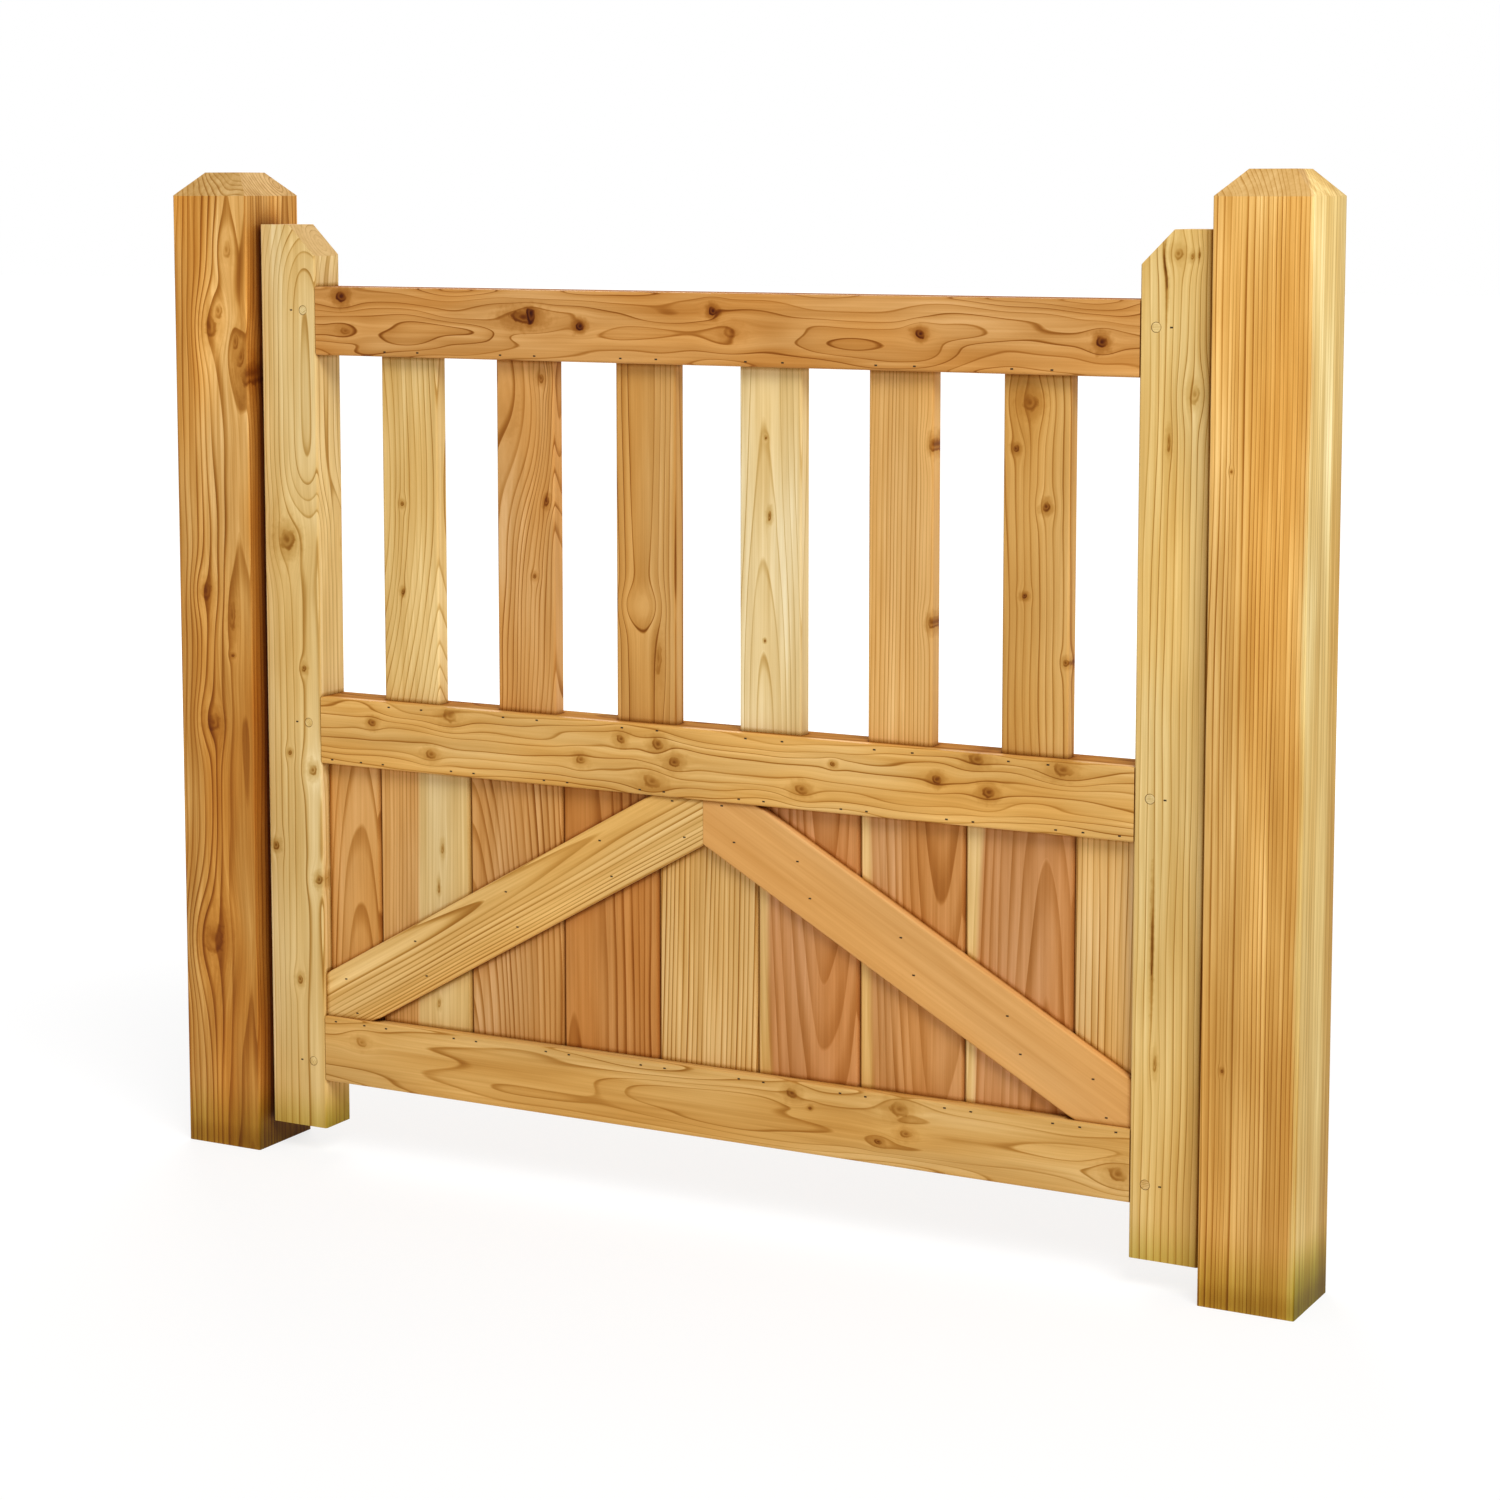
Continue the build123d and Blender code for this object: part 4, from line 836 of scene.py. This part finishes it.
white = node(tree, "ShaderNodeMixShader", (seen_directly(tree), matt_white, bright))
node(tree, "ShaderNodeOutputMaterial", {"Surface": white})
floor.data.materials.append(floor_paint)

world = bpy.data.worlds.new("white_sky")
bpy.context.scene.world = world
world.use_nodes = True
tree = world.node_tree
tree.nodes.clear()
strength = node(tree, RANGE, (seen_directly(tree), 0.0, 1.0, SKY_LIGHT, 1.0))
sky = node(tree, "ShaderNodeBackground", {"Color": linear(WHITE), "Strength": strength})
node(tree, "ShaderNodeOutputWorld", {"Surface": sky})


def soft_light(name, place, target, size, watts):
    """A square soft light at place, facing target."""
    lamp = bpy.data.lights.new(name, "AREA")
    lamp.shape = "SQUARE"
    lamp.size = size
    lamp.energy = watts
    holder = bpy.data.objects.new(name, lamp)
    holder.location = place
    holder.rotation_euler = (Vector(target) - Vector(place)).to_track_quat("-Z", "Y").to_euler()
    bpy.context.scene.collection.objects.link(holder)


GATE_MIDDLE = (0.0, 0.0, 0.55)
soft_light("day_light", place=(3.1, -3.1, 4.6), target=GATE_MIDDLE, size=3.0, watts=260.0)
soft_light("back_light", place=(-2.4, 3.4, 3.0), target=GATE_MIDDLE, size=2.4, watts=100.0)

# Camera: level with the posts' tops and to the right of the gate, as the photograph was taken.
# The shift brings the gate back to the middle of the picture.
PHOTO_YAW = 28.038
PHOTO_TILT = 6.232
PHOTO_PLACE = (1585.2 * MM, -2901.2 * MM, 1037.4 * MM)
PHOTO_LENS = 79.408
PHOTO_SENSOR = 36.0
PHOTO_SHIFT = -0.13
camera = bpy.data.cameras.new("photo_camera")
camera.lens = PHOTO_LENS
camera.sensor_width = PHOTO_SENSOR
camera.shift_y = PHOTO_SHIFT
camera_holder = bpy.data.objects.new("photo_camera", camera)
camera_holder.location = PHOTO_PLACE
camera_holder.rotation_euler = (math.radians(90.0 - PHOTO_TILT), 0.0, math.radians(PHOTO_YAW))
bpy.context.scene.collection.objects.link(camera_holder)
bpy.context.scene.camera = camera_holder
bpy.context.scene.view_settings.view_transform = "Standard"

bpy.context.view_layer.update()
